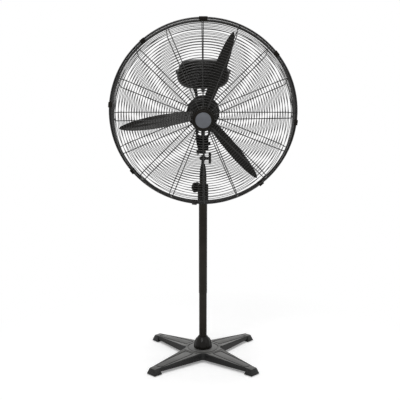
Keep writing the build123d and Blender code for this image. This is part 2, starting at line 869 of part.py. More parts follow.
def motor_rear_shell():
    """Barrel half with the rear bearing's seat and slots for cooling air."""
    inner, floor = motor_radius - motor_wall, motor_back + rear_end_plate
    split, hole = motor_split - seat_gap, shaft_radius + shaft_hole_gap
    seat = floor + bearing_width
    body = turned([
        (inner, split), (motor_radius, split), (motor_radius, motor_back + motor_shoulder),
        (motor_radius - motor_shoulder, motor_back), (hole, motor_back), (hole, floor),
        (bearing_radius, floor), (bearing_radius, seat), (bearing_radius + bearing_wall, seat),
        (bearing_radius + bearing_wall, floor), (inner, floor)])
    slot = block((vent_start, -vent_width / 2, motor_back - past), (vent_end, vent_width / 2, floor + past))
    for cut in around(slot, vent_count, 180 / vent_count):
        body -= cut
    return body


def bearings():
    """The two ball bearings, drawn as solid rings."""
    backs = (motor_front - end_plate - bearing_width, motor_back + rear_end_plate)
    return group([ring(bearing_radius, shaft_radius + running, back, back + bearing_width)
                  for back in backs])


def stator_core():
    return ring(stator_radius, rotor_radius + air_gap, core_back, core_front)


def stator_windings():
    return group([ring(winding_outer, winding_inner, core_front, core_front + winding_front_length),
                  ring(winding_outer, winding_inner, core_back - winding_back_length, core_back)])


def rotor_core():
    return ring(rotor_radius, shaft_radius, core_back, core_front)


def motor_shaft():
    shaft = cylinder(shaft_radius, motor_back - shaft_step, shaft_front)
    shaft = chamfer(shaft.edges().sort_by(Axis.Z)[-1], shaft_chamfer)
    return joined([shaft, cylinder(shaft_tail_radius, shaft_back, motor_back)])


def guard_nut():
    """Ring nut that holds the rear guard on the motor's nose."""
    low = rear_plane + rib_wire / 2 + seat_gap
    high, outer = low + guard_nut_height, nose_radius + guard_nut_edge
    body = ring(outer, nose_radius + running, low, high)
    slot = block((outer - guard_nut_slot_depth, -guard_nut_slot / 2, low - past),
                 (2 * outer, guard_nut_slot / 2, high + past))
    for notch in around(slot, guard_nut_slots):
        body -= notch
    return body


# ---- guards -----------------------------------------------------------------
def wire_ring(radius, plane, wire=ring_wire):
    half = wire / 2
    return ring(radius + half, radius - half, plane - half, plane + half)


def rib(points, half=rib_wire / 2):
    """Bent wire in the plane of the fan axis, through (radius, plane) points."""
    face = outline(offset_path(points, half) + offset_path(points, -half)[::-1])
    return extrude(Plane.XZ * face, half, both=True)


def rear_path():
    return [(centre_plate_radius - centre_plate_cover, rear_plane), (rear_flat_radius, rear_plane),
            (guard_radius - rim_wire / 2, 0)]


def front_path():
    return [(front_eye_radius, front_plane), (front_flat_radius, front_plane),
            (guard_radius - rim_wire / 2 - front_rim_step, front_rim_ahead)]


def flat_rings(first, last, plane):
    """Rings at an even pitch on the flat face of a guard, and one at its bend."""
    count = int((last - bend_ring_inset - first) / ring_pitch)
    radii = [first + i * ring_pitch for i in range(count + 1)]
    return [wire_ring(radius, plane) for radius in (*radii, last - bend_ring_inset)]


def wall_rings(path, count, weld):
    """Rings at even steps on the sloping wall of a guard, outside its ribs."""
    shifted = offset_path(path, weld)
    (bend_radius, bend_plane), (rim_radius, rim_plane) = shifted[1], shifted[2]
    shares = [i / (count + 1) for i in range(1, count + 1)]
    return [wire_ring(bend_radius + share * (rim_radius - bend_radius),
                      bend_plane + share * (rim_plane - bend_plane)) for share in shares]


def rear_guard():
    """Shallow dish: rim, ribs, rings behind them and the plate on the motor's nose."""
    rim = guard_radius - rim_wire / 2
    plate_low = motor_front + seat_gap
    weld = (rib_wire + ring_wire) / 2 - weld_depth
    parts = around(rib(rear_path()), rib_count)
    parts += flat_rings(centre_plate_radius + ring_pitch, rear_flat_radius, rear_plane - weld)
    parts += wall_rings(rear_path(), 1, -weld)
    parts.append(wire_ring(rim, 0, rim_wire))
    parts.append(ring(centre_plate_radius, nose_radius + seat_gap, plate_low,
                      rear_plane - rib_wire / 2 + weld_depth))
    parts.append(ring(centre_plate_radius - centre_plate_raise, nose_radius + seat_gap, plate_low,
                      rear_plane + rib_wire / 2))
    return joined(parts)


def front_guard():
    """Deep basket: rim, ribs and rings in front of them."""
    rim = guard_radius - rim_wire / 2 - front_rim_step
    weld = (rib_wire + ring_wire) / 2 - weld_depth
    parts = around(rib(front_path()), rib_count, front_turn)
    parts += flat_rings(front_eye_radius, front_flat_radius, front_plane + weld)
    parts += wall_rings(front_path(), front_wall_rings, weld)
    parts.append(wire_ring(rim, front_rim_ahead, front_rim_wire))
    return joined(parts)


def clip_angles():
    step = 360 / clip_count
    return [90] + [90 + i * step - clip_lag for i in range(1, clip_count)]


def rim_clip(length):
    """Bracket that clasps the two rims together, open towards the blades."""
    rim, nested = guard_radius - rim_wire / 2, guard_radius - rim_wire / 2 - front_rim_step
    outer, inner = guard_radius + clip_wall, nested - front_rim_wire / 2 - clip_wall
    low, high = -rim_wire / 2 - clip_wall, front_rim_ahead + rim_wire / 2 + clip_wall
    clip = block((inner, -length / 2, low), (outer, length / 2, high))
    clip -= wire_ring(rim, 0, rim_wire + 2 * seat_gap)
    clip -= wire_ring(nested, front_rim_ahead, front_rim_wire + 2 * seat_gap)
    return clip - block((inner - past, -length, low - past), (nested - front_rim_wire / 2, length, 0))


def rim_clips():
    """The top clip is longer and is slotted for the two ribs that it covers."""
    wide = rib_wire / 2 + seat_gap
    top = rim_clip(top_clip_length) - rib(rear_path(), wide)
    top -= Rot(0, 0, front_turn) * rib(front_path(), wide)
    small = rim_clip(clip_length)
    top_angle, *others = clip_angles()
    return group([Rot(0, 0, top_angle) * top] + [Rot(0, 0, angle) * small for angle in others])


def clip_screws():
    seat = front_rim_ahead + rim_wire / 2 + clip_wall
    screw = cylinder(clip_screw_radius, seat, seat + screw_head, guard_radius - rim_wire)
    return group([Rot(0, 0, angle) * screw for angle in clip_angles()])


def badge_ring():
    low, floor = front_plane + rib_wire / 2 + ring_wire, badge_face - badge_floor
    bore = badge_radius + badge_gap
    return turned([(badge_ring_bore, low), (badge_ring_radius, low),
                   (badge_ring_radius, badge_face - badge_ring_chamfer),
                   (badge_ring_radius - badge_ring_chamfer, badge_face), (bore, badge_face),
                   (bore, floor), (badge_ring_bore, floor)])


def badge_disc():
    disc = cylinder(badge_radius, badge_face - badge_floor, badge_face - badge_disc_sink)
    return chamfer(disc.edges().sort_by(Axis.Z)[-1], badge_disc_sink)


def badge_clamp():
    """Plate behind the ribs that the badge ring is screwed to."""
    high = front_plane - rib_wire / 2 - seat_gap
    plate = cylinder(front_eye_radius + clamp_plate_cover, high - clamp_plate, high)
    return joined([plate, cylinder(clamp_boss_radius, high - past, badge_face - badge_floor)])


# ---- blades and hub ---------------------------------------------------------
def blade_chord(radius):
    """Chord of the leaf-shaped blade at a radius."""
    along = (radius - blade_root) / (blade_tip - blade_root)
    return (blade_root_chord * math.sqrt(1 - along ** blade_end_round)
            + blade_belly * math.sin(math.pi * along))


def blade_pitch(radius):
    along = max(0, (radius - blade_flat_end) / (blade_tip - blade_flat_end))
    return root_pitch + (tip_pitch - root_pitch) * along


def blade_section(radius):
    """Thin arched section across the blade at one radius."""
    half = blade_chord(radius) / 2
    arch = 2 * camber_share * half
    low = ThreePointArc((-half, 0), (0, -arch), (half, 0))
    high = ThreePointArc((half, blade_thickness), (0, blade_thickness - arch), (-half, blade_thickness))
    ends = [Line((half, 0), (half, blade_thickness)), Line((-half, blade_thickness), (-half, 0))]
    face = make_face([low, ends[0], high, ends[1]])
    across = Plane(origin=(radius, 0, 0), x_dir=(0, 1, 0), z_dir=(1, 0, 0))
    return Rot(blade_pitch(radius), 0, 0) * (across * face)


def blade_radii():
    """Radii of the sections, closer together towards the rounded tip."""
    end = blade_tip - past
    shares = [math.sin(math.pi / 2 * i / (blade_stations - 1)) for i in range(blade_stations)]
    return [blade_flat_end + share * (end - blade_flat_end) for share in shares]


def blade():
    """Flat root on the hub's arm, then a twisted, arched leaf to the tip."""
    leaf = loft([blade_section(radius) for radius in blade_radii()])
    half, end = blade_chord(blade_root) / 2, blade_chord(blade_flat_end) / 2
    plan = outline([(blade_root, -half), (blade_flat_end, -end), (blade_flat_end, end), (blade_root, half)])
    root = Rot(root_pitch, 0, 0) * extrude(plan, blade_thickness)
    return Pos(0, 0, blade_plane) * joined([leaf, root])


def blade_arm():
    """Pitched arm of the hub that a blade is riveted to."""
    half = arm_plate_width / 2
    arm = block((hub_radius - arm_plate_root, -half, -arm_plate_thickness),
                (blade_flat_end - arm_plate_inset, half, 0))
    arm = fillet(arm.edges().filter_by(Axis.Z).sort_by(Axis.X)[-2:], arm_plate_corner)
    return Pos(0, 0, blade_plane) * (Rot(root_pitch, 0, 0) * arm)


def blade_hub():
    body = cylinder(hub_radius, hub_back, hub_front)
    body = fillet(body.edges().sort_by(Axis.Z)[-1], hub_edge)
    bore = cylinder(shaft_radius, hub_back - hub_radius, hub_front + past)
    return joined([body] + around(blade_arm(), blade_count, blade_phase)) - bore


def blade_rivets():
    """Round heads on the blades, three to each arm."""
    head = cylinder(rivet_radius, blade_thickness, blade_thickness + rivet_head)
    spots = [(rivet_inner, 0), (rivet_outer, rivet_side), (rivet_outer, -rivet_side)]
    rivets = [Pos(0, 0, blade_plane) * (Rot(root_pitch, 0, 0) * (Pos(x, y, 0) * head)) for x, y in spots]
    return group([copy for rivet in rivets for copy in around(rivet, blade_count, blade_phase)])


def hub_nut():
    nut = hexagon(hub_nut_radius, hub_front, hub_front + hub_nut_height)
    return nut - cylinder(shaft_radius, hub_front - past, hub_front + 2 * hub_nut_height)


# ---- control housing --------------------------------------------------------
def stadium(profile):
    """A body with two round ends and straight sides from a (reach, height) half section."""
    straight = housing_half_straight
    half = [(reach - straight, z) for reach, z in profile]
    mirrored = [(-reach, z) for reach, z in reversed(half[1:-1])]
    middle = extrude(Plane.YZ * outline(half + mirrored), straight, both=True)
    end = turned(half)
    return joined([middle, Pos(-straight, 0, 0) * end, Pos(straight, 0, 0) * end])


def side_ears(low, high):
    """Lugs for the flange screws at both ends of the housing, outside its wall."""
    inside = housing_reach - 2 * housing_wall
    cut = block((-inside, -housing_reach, low - past), (inside, housing_reach, high + past))
    ear = cylinder(ear_radius, low, high, housing_reach - ear_inset) - cut
    return [ear, Rot(0, 0, 180) * ear]


def housing_bowl():
    """Lower shell, open at the flange."""
    axis, rim = housing_half_straight, housing_flange
    curve = [(housing_reach - inset, housing_bottom + rise) for inset, rise in bowl_curve]
    outer = [(axis, housing_bottom)] + curve + [(housing_reach, rim)]
    inner = offset_path(outer, housing_wall)
    cavity = stadium(inner + [(inner[-1][0], rim + past), (axis, rim + past)])
    body = stadium(outer + [(axis, rim)]) - cavity
    body = joined([body] + side_ears(rim - bowl_ear_height, rim))
    stem_frame = Location((0, switch_back, switch_height), (-90, 0, 0))
    stem_hole = stem_frame * cylinder(knob_stud_radius + running, 0, speed_knob_seat - switch_back + past)
    gland_hole = cylinder(gland_radius, housing_bottom - past, housing_bottom + housing_wall + past,
                          0, gland_back)
    return body - cavity - stem_hole - gland_hole


def housing_lid():
    """Upper shell with its own flange."""
    axis, rim = housing_half_straight, housing_flange
    curve = [(housing_reach - inset, rim + rise) for inset, rise in lid_curve]
    outer = [(housing_reach, rim), (housing_reach, rim + lid_flange)] + curve + [(axis, housing_top)]
    inner = offset_path(outer, housing_wall)
    cavity = stadium([(axis, rim - past), (inner[0][0], rim - past)] + inner)
    body = stadium([(axis, rim)] + outer) - cavity
    return joined([body] + side_ears(rim, rim + lid_flange)) - cavity


def housing_screws():
    seat, reach = housing_flange + lid_flange, housing_reach - ear_screw_out
    screw = cylinder(ear_screw_radius, seat, seat + screw_head, reach)
    return group([screw, Rot(0, 0, 180) * screw])


def housing_struts():
    """Two legs that carry the control housing on the motor."""
    low = fan_axis_height + strut_foot_rise
    foot, top = strut_sweep - strut_half_gap, -strut_half_gap
    face = outline([(foot, low), (top, housing_bottom), (top - strut_width, housing_bottom),
                    (foot - strut_width + strut_taper, low)])
    leg = Pos(0, strut_thickness / 2, 0) * extrude(Plane.XZ * face, strut_thickness / 2, both=True)
    leg -= motor_clearance()
    return group([leg, leg.mirror(Plane.YZ)])


def capacitor():
    body = Rot(0, 90, 0) * Cylinder(capacitor_radius, capacitor_length)
    return Pos(-capacitor_left, 0, housing_bottom + housing_wall + capacitor_radius + seat_gap) * body


def terminal_block():
    low = housing_bottom + housing_wall
    high, pitch = low + terminal_height, terminal_length / terminal_count
    body = block((terminal_left, -terminal_half_depth, low),
                 (terminal_left + terminal_length, terminal_half_depth, high))
    for i in range(terminal_count):
        body -= cylinder(terminal_screw_radius, high - terminal_screw_depth, high + past,
                         terminal_left + (i + 0.5) * pitch)
    return body


def speed_switch():
    return block((-switch_half_width, switch_front, switch_height - switch_half),
                 (switch_half_width, switch_back, switch_height + switch_half))


def speed_knob():
    """Rotary knob on the back of the control housing."""
    half_width, half_length, height = speed_grip
    knob = turned([(0, 0), (speed_knob_radius, 0), (speed_knob_radius - speed_knob_taper, speed_knob_depth),
                   (0, speed_knob_depth)])
    grip = block((-half_width, -half_length, speed_knob_depth - past),
                 (half_width, half_length, speed_knob_depth + height))
    stem = cylinder(knob_stud_radius, switch_back + free_gap - speed_knob_seat, past)
    return Location((0, speed_knob_seat, switch_height), (-90, 0, 0)) * joined([knob, grip, stem])


def cable_gland():
    """Screwed gland for the supply cable, under the back of the bowl."""
    low, high = housing_bottom - gland_nut_height - gland_tail, housing_bottom + gland_thread
    nut = hexagon(gland_nut_radius, housing_bottom - gland_nut_height, housing_bottom)
    body = joined([nut, cylinder(gland_radius, low, high)])
    return Pos(0, gland_back, 0) * (body - cylinder(gland_bore, low - past, high + past))


# ---- write every node -------------------------------------------------------
stand_nodes = {
    "base_casting": base_casting, "foot_pads": foot_pads, "pole_socket": pole_socket,
    "lower_pole": lower_pole, "centre_bolt": centre_bolt,
    "upper_pole": upper_pole, "joint_screw": joint_screw, "mast_collar": mast_collar,
    "collar_bush": collar_bush, "height_knob": height_knob, "knob_stud": knob_stud,
    "mast_tube": mast_tube, "mast_nose": mast_nose,
}
head_nodes = {
    "tilt_bracket": tilt_bracket, "pivot_pin": pivot_pin, "thrust_washer": thrust_washer,
    "link_stud": link_stud, "yoke": yoke, "pin_clamp_screw": pin_clamp_screw,
    "gearbox_housing": gearbox_housing, "gearbox_cover": gearbox_cover,
    "gearbox_screws": gearbox_screws, "worm_wheel": worm_wheel, "clutch_shaft": clutch_shaft,
    "clutch_knob": clutch_knob, "crank": crank, "link_rod": link_rod,
    "housing_struts": housing_struts,
}
axis_nodes = {
    "motor_front_shell": motor_front_shell, "motor_rear_shell": motor_rear_shell, "bearings": bearings,
    "stator_core": stator_core, "stator_windings": stator_windings, "rotor_core": rotor_core,
    "motor_shaft": motor_shaft, "worm": worm, "guard_nut": guard_nut,
    "rear_guard": rear_guard, "front_guard": front_guard, "rim_clips": rim_clips,
    "clip_screws": clip_screws, "badge_ring": badge_ring, "badge_disc": badge_disc,
    "badge_clamp": badge_clamp, "blade_hub": blade_hub, "blade_rivets": blade_rivets,
    "hub_nut": hub_nut,
}
housing_nodes = {
    "housing_bowl": housing_bowl, "housing_lid": housing_lid, "housing_screws": housing_screws,
    "capacitor": capacitor, "terminal_block": terminal_block, "speed_switch": speed_switch,
    "speed_knob": speed_knob, "cable_gland": cable_gland,
}

for name, make in stand_nodes.items():
    write(name, make())
for name, make in head_nodes.items():
    write(name, head_frame * make())
for name, make in axis_nodes.items():
    write(name, fan_frame * make())
for name, make in housing_nodes.items():
    write(name, housing_frame * make())

handle_frame = Location((0, 0, tilt_height))
write("tilt_handle", handle_frame * tilt_handle())
write("tilt_nut", handle_frame * tilt_nut())
for i, copy in enumerate(around(blade(), blade_count, blade_phase)):
    write(f"blade_{i + 1}", fan_frame * copy)
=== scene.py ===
# %% [markdown]
# # A pedestal fan, dressed piece by piece
# The fan stands on a cross-shaped iron base. A two-part pole holds a sliding mast, and on the mast sits the
# head: motor, three leaf-shaped blades, two wire guards and a control housing. The solids come from the
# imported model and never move. This lesson puts finished surfaces on them, one piece at a time.

import json
import math

import bmesh
import bpy
import numpy as np
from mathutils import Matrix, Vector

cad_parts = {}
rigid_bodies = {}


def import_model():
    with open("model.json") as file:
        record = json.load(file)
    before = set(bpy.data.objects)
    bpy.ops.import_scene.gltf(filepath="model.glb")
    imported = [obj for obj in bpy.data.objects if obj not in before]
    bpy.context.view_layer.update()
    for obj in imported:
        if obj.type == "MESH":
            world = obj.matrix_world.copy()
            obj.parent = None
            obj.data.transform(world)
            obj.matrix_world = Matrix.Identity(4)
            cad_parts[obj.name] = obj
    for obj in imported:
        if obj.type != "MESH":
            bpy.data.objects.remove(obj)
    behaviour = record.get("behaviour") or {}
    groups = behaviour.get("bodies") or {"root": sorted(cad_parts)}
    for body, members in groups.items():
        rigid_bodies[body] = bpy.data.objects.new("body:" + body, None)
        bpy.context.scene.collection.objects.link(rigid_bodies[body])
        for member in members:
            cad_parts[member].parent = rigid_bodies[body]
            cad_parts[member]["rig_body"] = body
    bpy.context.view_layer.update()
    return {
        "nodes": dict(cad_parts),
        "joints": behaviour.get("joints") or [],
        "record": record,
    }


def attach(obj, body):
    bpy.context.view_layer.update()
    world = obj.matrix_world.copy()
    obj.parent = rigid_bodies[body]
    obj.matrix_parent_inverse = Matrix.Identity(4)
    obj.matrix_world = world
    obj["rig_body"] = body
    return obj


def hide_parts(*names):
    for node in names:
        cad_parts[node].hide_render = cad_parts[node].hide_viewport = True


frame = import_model()
nodes = frame["nodes"]
joints = {joint["name"]: joint for joint in frame["joints"]}

# %% [markdown]
# ## Three sets of directions
# The head leans forward a little, so its rings and blades are round about a tilted axis. Working out each
# piece along world axes would put that tilt into every formula. Instead a Place holds a point and three
# directions: shapes are written in its own upright terms and moved over in one matrix product. The joints
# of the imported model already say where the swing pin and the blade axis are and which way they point.

# %% Places to build in
class Place:
    """A starting point and three directions. points() carries local points over: start + x X + y Y + z Z."""

    def __init__(self, start, x, y, z):
        self.start = np.array(start, float)
        self.axes = np.array([x, y, z], float)

    def points(self, local):
        return self.start + np.asarray(local, float) @ self.axes

    def moved(self, x=0.0, y=0.0, z=0.0):
        return Place(self.points([x, y, z]), *self.axes)


head_up = np.array(joints["swing"]["axis"])
ahead = np.array(joints["blade_spin"]["axis"])
right = np.cross(head_up, ahead)
post = Place([0, 0, 0], [1, 0, 0], [0, 1, 0], [0, 0, 1])
head = Place(joints["swing"]["pos_m"], right, -ahead, head_up)
fan = Place(joints["blade_spin"]["pos_m"], right, head_up, ahead)
print(f"the head leans {math.degrees(math.asin(-ahead[2])):.1f} degrees; its axis is {fan.start[2]:.3f} m up")

# %% [markdown]
# ## Reading sizes off the solids
# A finished piece has to lie where its solid lies. span() measures a node along any direction of a place,
# which is what a caliper laid along the tilted axis would read.

# %% A caliper
def span(node, place, axis):
    """Lowest and highest value of a node's points along one direction of a place."""
    mesh = nodes[node].data
    points = np.empty(len(mesh.vertices) * 3)
    mesh.vertices.foreach_get("co", points)
    along = (points.reshape(-1, 3) - place.start) @ place.axes[axis]
    return along.min(), along.max()


guard_radius = span("rear_guard", fan, 0)[1]
rear_back, rim_front = span("rear_guard", fan, 2)
front_face = span("front_guard", fan, 2)[1]
print(f"guard {2000 * guard_radius:.0f} mm across, {1000 * (front_face - rear_back):.0f} mm deep")

# %% [markdown]
# ## Shader maths as plain sums
# A finish is a network of small nodes. Clicking or scripting them one by one hides the idea, so a socket is
# wrapped in a class that knows +, - and *: an expression such as 1 - dust * 0.3 then adds its own Math
# nodes. Everything else comes from one method that makes any node from its type, settings and inputs.

# %% A socket that can be added and multiplied
class Reading:
    """One number that varies over the surface."""

    def __init__(self, finish, socket):
        self.finish = finish
        self.socket = socket

    def maths(self, operation, first, second=0.0):
        return self.finish.node("ShaderNodeMath", {"operation": operation}, {0: first, 1: second})

    def __add__(self, other):
        return self.maths("ADD", self, other)

    def __sub__(self, other):
        return self.maths("SUBTRACT", self, other)

    def __rsub__(self, other):
        return self.maths("SUBTRACT", other, self)

    def __mul__(self, other):
        return self.maths("MULTIPLY", self, other)

    def sine(self):
        return self.maths("SINE", self)

    def mask(self, low, high):
        """0 below low, 1 above high and a soft step between them."""
        settings = {"interpolation_type": "SMOOTHSTEP"}
        return self.finish.node("ShaderNodeMapRange", settings, {0: self, 1: low, 2: high, 3: 0.0, 4: 1.0})

    __radd__ = __add__
    __rmul__ = __mul__


# %% A finish under construction
class Finish:
    """A material around one Principled shader. Keyword arguments are its constant sockets."""

    def __init__(self, name, **constants):
        self.material = bpy.data.materials.new(name)
        self.material.use_nodes = True
        self.tree = self.material.node_tree
        self.tree.nodes.clear()
        self.shader = self.tree.nodes.new("ShaderNodeBsdfPrincipled")
        output = self.tree.nodes.new("ShaderNodeOutputMaterial")
        self.tree.links.new(self.shader.outputs[0], output.inputs[0])
        for socket, value in constants.items():
            self.shader.inputs[socket.replace("_", " ")].default_value = value
        self.place = self.node("ShaderNodeTexCoord", output="Object")

    def node(self, kind, settings=None, inputs=None, output=0):
        """Makes a node: settings first, then each input's value or link; returns one output."""
        made = self.tree.nodes.new(kind)
        for key, value in (settings or {}).items():
            setattr(made, key, value)
        for key, value in (inputs or {}).items():
            if isinstance(value, Reading):
                self.tree.links.new(value.socket, made.inputs[key])
            else:
                made.inputs[key].default_value = value
        return Reading(self, made.outputs[output])

    def stretched(self, x, y, z):
        """The place on the object, stretched so that a pattern runs long in one direction."""
        return self.node("ShaderNodeMapping", {}, {"Vector": self.place, "Scale": (x, y, z)})

    def noise(self, size, detail=3.0, roughness=0.5, place=None):
        """Cloudy variation from 0 to 1 whose patches are about size metres across."""
        inputs = {"Vector": place or self.place, "Scale": 1 / size, "Detail": detail, "Roughness": roughness}
        return self.node("ShaderNodeTexNoise", {}, inputs)

    def facing_up(self):
        """1 where the surface looks straight up, 0 where it is upright, negative below."""
        normal = self.node("ShaderNodeNewGeometry", output="Normal")
        return self.along(normal, (0, 0, 1))

    def along(self, vector, direction):
        """How far a vector reaches in a direction: their dot product."""
        return self.node("ShaderNodeVectorMath", {"operation": "DOT_PRODUCT"},
                         {0: vector, 1: tuple(direction)}, output="Value")

    def mix(self, factor, first, second):
        """One colour where factor is 0, the other where it is 1."""
        settings = {"data_type": "RGBA"}
        return self.node("ShaderNodeMix", settings, {0: factor, 6: first, 7: second}, output=2)

    def feed(self, socket, reading):
        self.tree.links.new(reading.socket, self.shader.inputs[socket])

    def bump(self, height, depth):
        """Raises the surface by height (0 to 1) times depth, in metres, in shading only."""
        normal = self.node("ShaderNodeBump", {}, {"Strength": 1.0, "Distance": depth, "Height": height})
        self.feed("Normal", normal)


def grey(value, tint=(1.0, 1.0, 1.0)):
    """An opaque grey, tinted."""
    return (value * tint[0], value * tint[1], value * tint[2], 1.0)


# %% [markdown]
# ## Finish: black stove enamel
# Poles, guards and housings of such fans are dipped or powder coated in black and baked. Up close that paint
# isn't one black: it has a fine orange peel, hazy patches where hands wipe it, and a film of dust on
# whatever faces up. So a broad noise moves the roughness, a fine one the bump, and the surface normal's
# upward share fades in a little pale dust. Gloss is a constant of the shader, and it is low: a black coat
# in a white room shows mostly its reflections, and these coats are satin and slightly warm.

# %% Enamel
def enamel(name, shade, roughness, peel=0.0025, depth=0.00004, dust=0.02, tint=(1.0, 0.97, 0.93), gloss=0.25):
    finish = Finish(name, Specular_IOR_Level=gloss)
    patches = finish.noise(0.09, 4)
    specks = finish.noise(0.006, 6, 0.7)
    film = finish.facing_up().mask(0.35, 1.0) * specks.mask(0.4, 0.75) * dust
    paint = finish.mix(patches.mask(0.3, 0.75), grey(shade * 0.82, tint), grey(shade * 1.2, tint))
    finish.feed("Base Color", finish.mix(film, paint, grey(0.55, (1.0, 0.97, 0.92))))
    finish.feed("Roughness", roughness - 0.05 + 0.12 * patches + 0.5 * film)
    finish.bump(finish.noise(peel, 2), depth)
    return finish.material


warm_black = (1.15, 1.0, 0.8)
blue_grey = (0.93, 0.98, 1.09)
finishes = {
    "black_enamel": enamel("black_enamel", 0.010, 0.30, gloss=0.05, tint=warm_black),
    "pole_black": enamel("pole_enamel", 0.019, 0.28, peel=0.004, gloss=0.08, tint=warm_black),
    "guard_wire": enamel("guard_powder_coat", 0.018, 0.28, peel=0.0012, depth=0.00002, dust=0.05, gloss=0.20),
    "housing_black": enamel("housing_enamel", 0.007, 0.26, dust=0.002, gloss=0.03, tint=warm_black),
    "motor_black": enamel("motor_enamel", 0.006, 0.40, gloss=0.04, tint=warm_black),
    "blade_black": enamel("blade_enamel", 0.005, 0.19, gloss=0.17, tint=warm_black),
    "badge_grey": enamel("badge_enamel", 0.108, 0.36, peel=0.0008, depth=0.00001, tint=blue_grey),
}
print(f"{len(finishes)} enamels")

# %% [markdown]
# ## Finish: painted castings
# The base, yoke and tilt pieces are sand castings. Their paint lies over a pebbled skin with a few pits.
# Faces that look up
# are painted a duller, paler grey: partly real wear and dust, partly painted sheen standing in for the room's
# grazing reflection, strongest round the pole as a painted highlight. A coarse noise gives the pebbles and a
# Voronoi cell distance the pits; both go into one height, so the light catches them together. The distance
# from the pole thickens the painted sheen and wear.

# %% Cast metal under paint
def casting(name, shade, roughness, pebble=0.004, depth=0.00022, wear_and_sheen=0.2, gloss=0.3, hub_sheen_and_dust=0.0):
    tint = (1.0, 0.99, 0.95)
    finish = Finish(name, Specular_IOR_Level=gloss)
    pebbles = finish.noise(pebble, 4, 0.6)
    cells = finish.node("ShaderNodeTexVoronoi", {}, {"Vector": finish.place, "Scale": 0.5 / pebble})
    pits = 1 - cells.mask(0.05, 0.25)
    patches = finish.noise(0.07, 5, 0.6)
    flattened = finish.stretched(1, 1, 0)
    from_middle = finish.node("ShaderNodeVectorMath", {"operation": "LENGTH"}, {0: flattened}, output="Value")
    # Near the pole the paler top grows stronger: a painted highlight round the hub, with some dust.
    hub_sheen_and_dust_gain = 1 + hub_sheen_and_dust * (1 - from_middle.mask(0.06, 0.24))
    # Upward faces get a paler grey: part real wear and dust, part painted sheen for the room's reflection.
    worn_and_sheen = finish.facing_up().mask(0.55, 0.95) * (0.6 + 0.4 * patches.mask(0.35, 0.7)) * hub_sheen_and_dust_gain * wear_and_sheen
    paint = finish.mix(patches, grey(shade * 0.8, tint), grey(shade * 1.25, tint))
    finish.feed("Base Color", finish.mix(worn_and_sheen, paint, grey(shade * 3.0 + 0.10, tint)))
    finish.feed("Roughness", roughness + 0.10 * pebbles - 0.05 + 0.1 * worn_and_sheen)
    finish.bump(pebbles - 0.35 * pits, depth)
    return finish.material


finishes["base_iron"] = casting("base_paint_on_iron", 0.006, 0.28, pebble=0.005, wear_and_sheen=0.80, gloss=0.28,
                                hub_sheen_and_dust=0.6)
finishes["grey_casting"] = casting("yoke_paint_on_iron", 0.006, 0.40, 0.003, 0.00012, wear_and_sheen=0.05, gloss=0.04)
finishes["gear_case"] = casting("gear_case_paint", 0.006, 0.45, 0.0025, 0.0001, wear_and_sheen=0.05, gloss=0.05)
print("3 castings")

# %% [markdown]
# ## Finish: bare and plated steel
# Zinc-plated screws, ground shafts and the bronze washer are metal all through, so Metallic is 1 and the
# colour is that of the reflection. Drawing and turning leave fine lines, which a noise stretched along the
# piece gives, and handling leaves duller smears.

# %% Plated and drawn steel
def steel(name, shade, roughness, stretch=(1.0, 1.0, 0.04), tint=(1.0, 1.0, 1.0), line=0.0006):
    finish = Finish(name, Metallic=1.0)
    lines = finish.noise(line, 2, place=finish.stretched(*stretch))
    smears = finish.noise(0.02, 4, 0.6)
    finish.feed("Base Color", finish.mix(smears, grey(shade * 0.85, tint), grey(shade * 1.1, tint)))
    finish.feed("Roughness", roughness + 0.14 * lines + 0.12 * smears - 0.12)
    finish.bump(lines, 0.00001)
    return finish.material


finishes["zinc_steel"] = steel("zinc_plate", 0.5, 0.30, (1, 1, 1), tint=(1.0, 1.0, 0.97))
finishes["bearing_steel"] = steel("ground_steel", 0.5, 0.2, (0.05, 1, 1))
finishes["bronze_washer"] = steel("bronze", 0.5, 0.3, (1, 1, 1), tint=(1.0, 0.72, 0.36))

# %% [markdown]
# ## Finish: mouldings, rubber and windings
# Knobs and glands are moulded with a spark-eroded grain. Rubber feet are duller and dusty. Inside the motor,
# the core is a stack of thin sheets and the winding a bundle of enamelled wire: both are stripes, one along
# the shaft and one wound round it, so a sine of the distance along the shaft gives them.

# %% Plastics and rubber
def moulded(name, shade, roughness, grain=0.0009, tint=(1.0, 1.0, 1.0)):
    finish = Finish(name, Specular_IOR_Level=0.06)
    grains = finish.noise(grain, 2)
    patches = finish.noise(0.03, 3)
    finish.feed("Base Color", finish.mix(patches, grey(shade * 0.85, tint), grey(shade * 1.15, tint)))
    finish.feed("Roughness", roughness + 0.12 * patches - 0.05)
    finish.bump(grains, 0.00003)
    return finish.material


def striped(name, shade, tint, pitch, depth):
    """Fine stripes across the shaft, each one pitch wide."""
    finish = Finish(name, Metallic=1.0)
    wave = (finish.along(finish.place, ahead) * (2 * math.pi / pitch)).sine() * 0.5 + 0.5
    finish.feed("Base Color", finish.mix(wave, grey(shade * 0.5, tint), grey(shade, tint)))
    finish.feed("Roughness", 0.35 + 0.2 * finish.noise(0.004))
    finish.bump(wave, depth)
    return finish.material


finishes["black_plastic"] = moulded("black_moulding", 0.008, 0.42, tint=warm_black)
finishes["foot_rubber"] = moulded("foot_rubber", 0.018, 0.75, grain=0.0015)
finishes["gear_nylon"] = moulded("nylon", 0.7, 0.45, tint=(1.0, 0.98, 0.9))
finishes["capacitor_case"] = moulded("capacitor_case", 0.55, 0.35)
finishes["terminal_ivory"] = moulded("terminal_ivory", 0.6, 0.5, tint=(1.0, 0.94, 0.76))
finishes["lamination_steel"] = striped("laminations", 0.3, (1.0, 1.0, 1.02), 0.0007, 0.0001)
finishes["copper_winding"] = striped("copper_winding", 0.6, (1.0, 0.42, 0.18), 0.0011, 0.0003)
print(f"{len(finishes)} finishes in all")
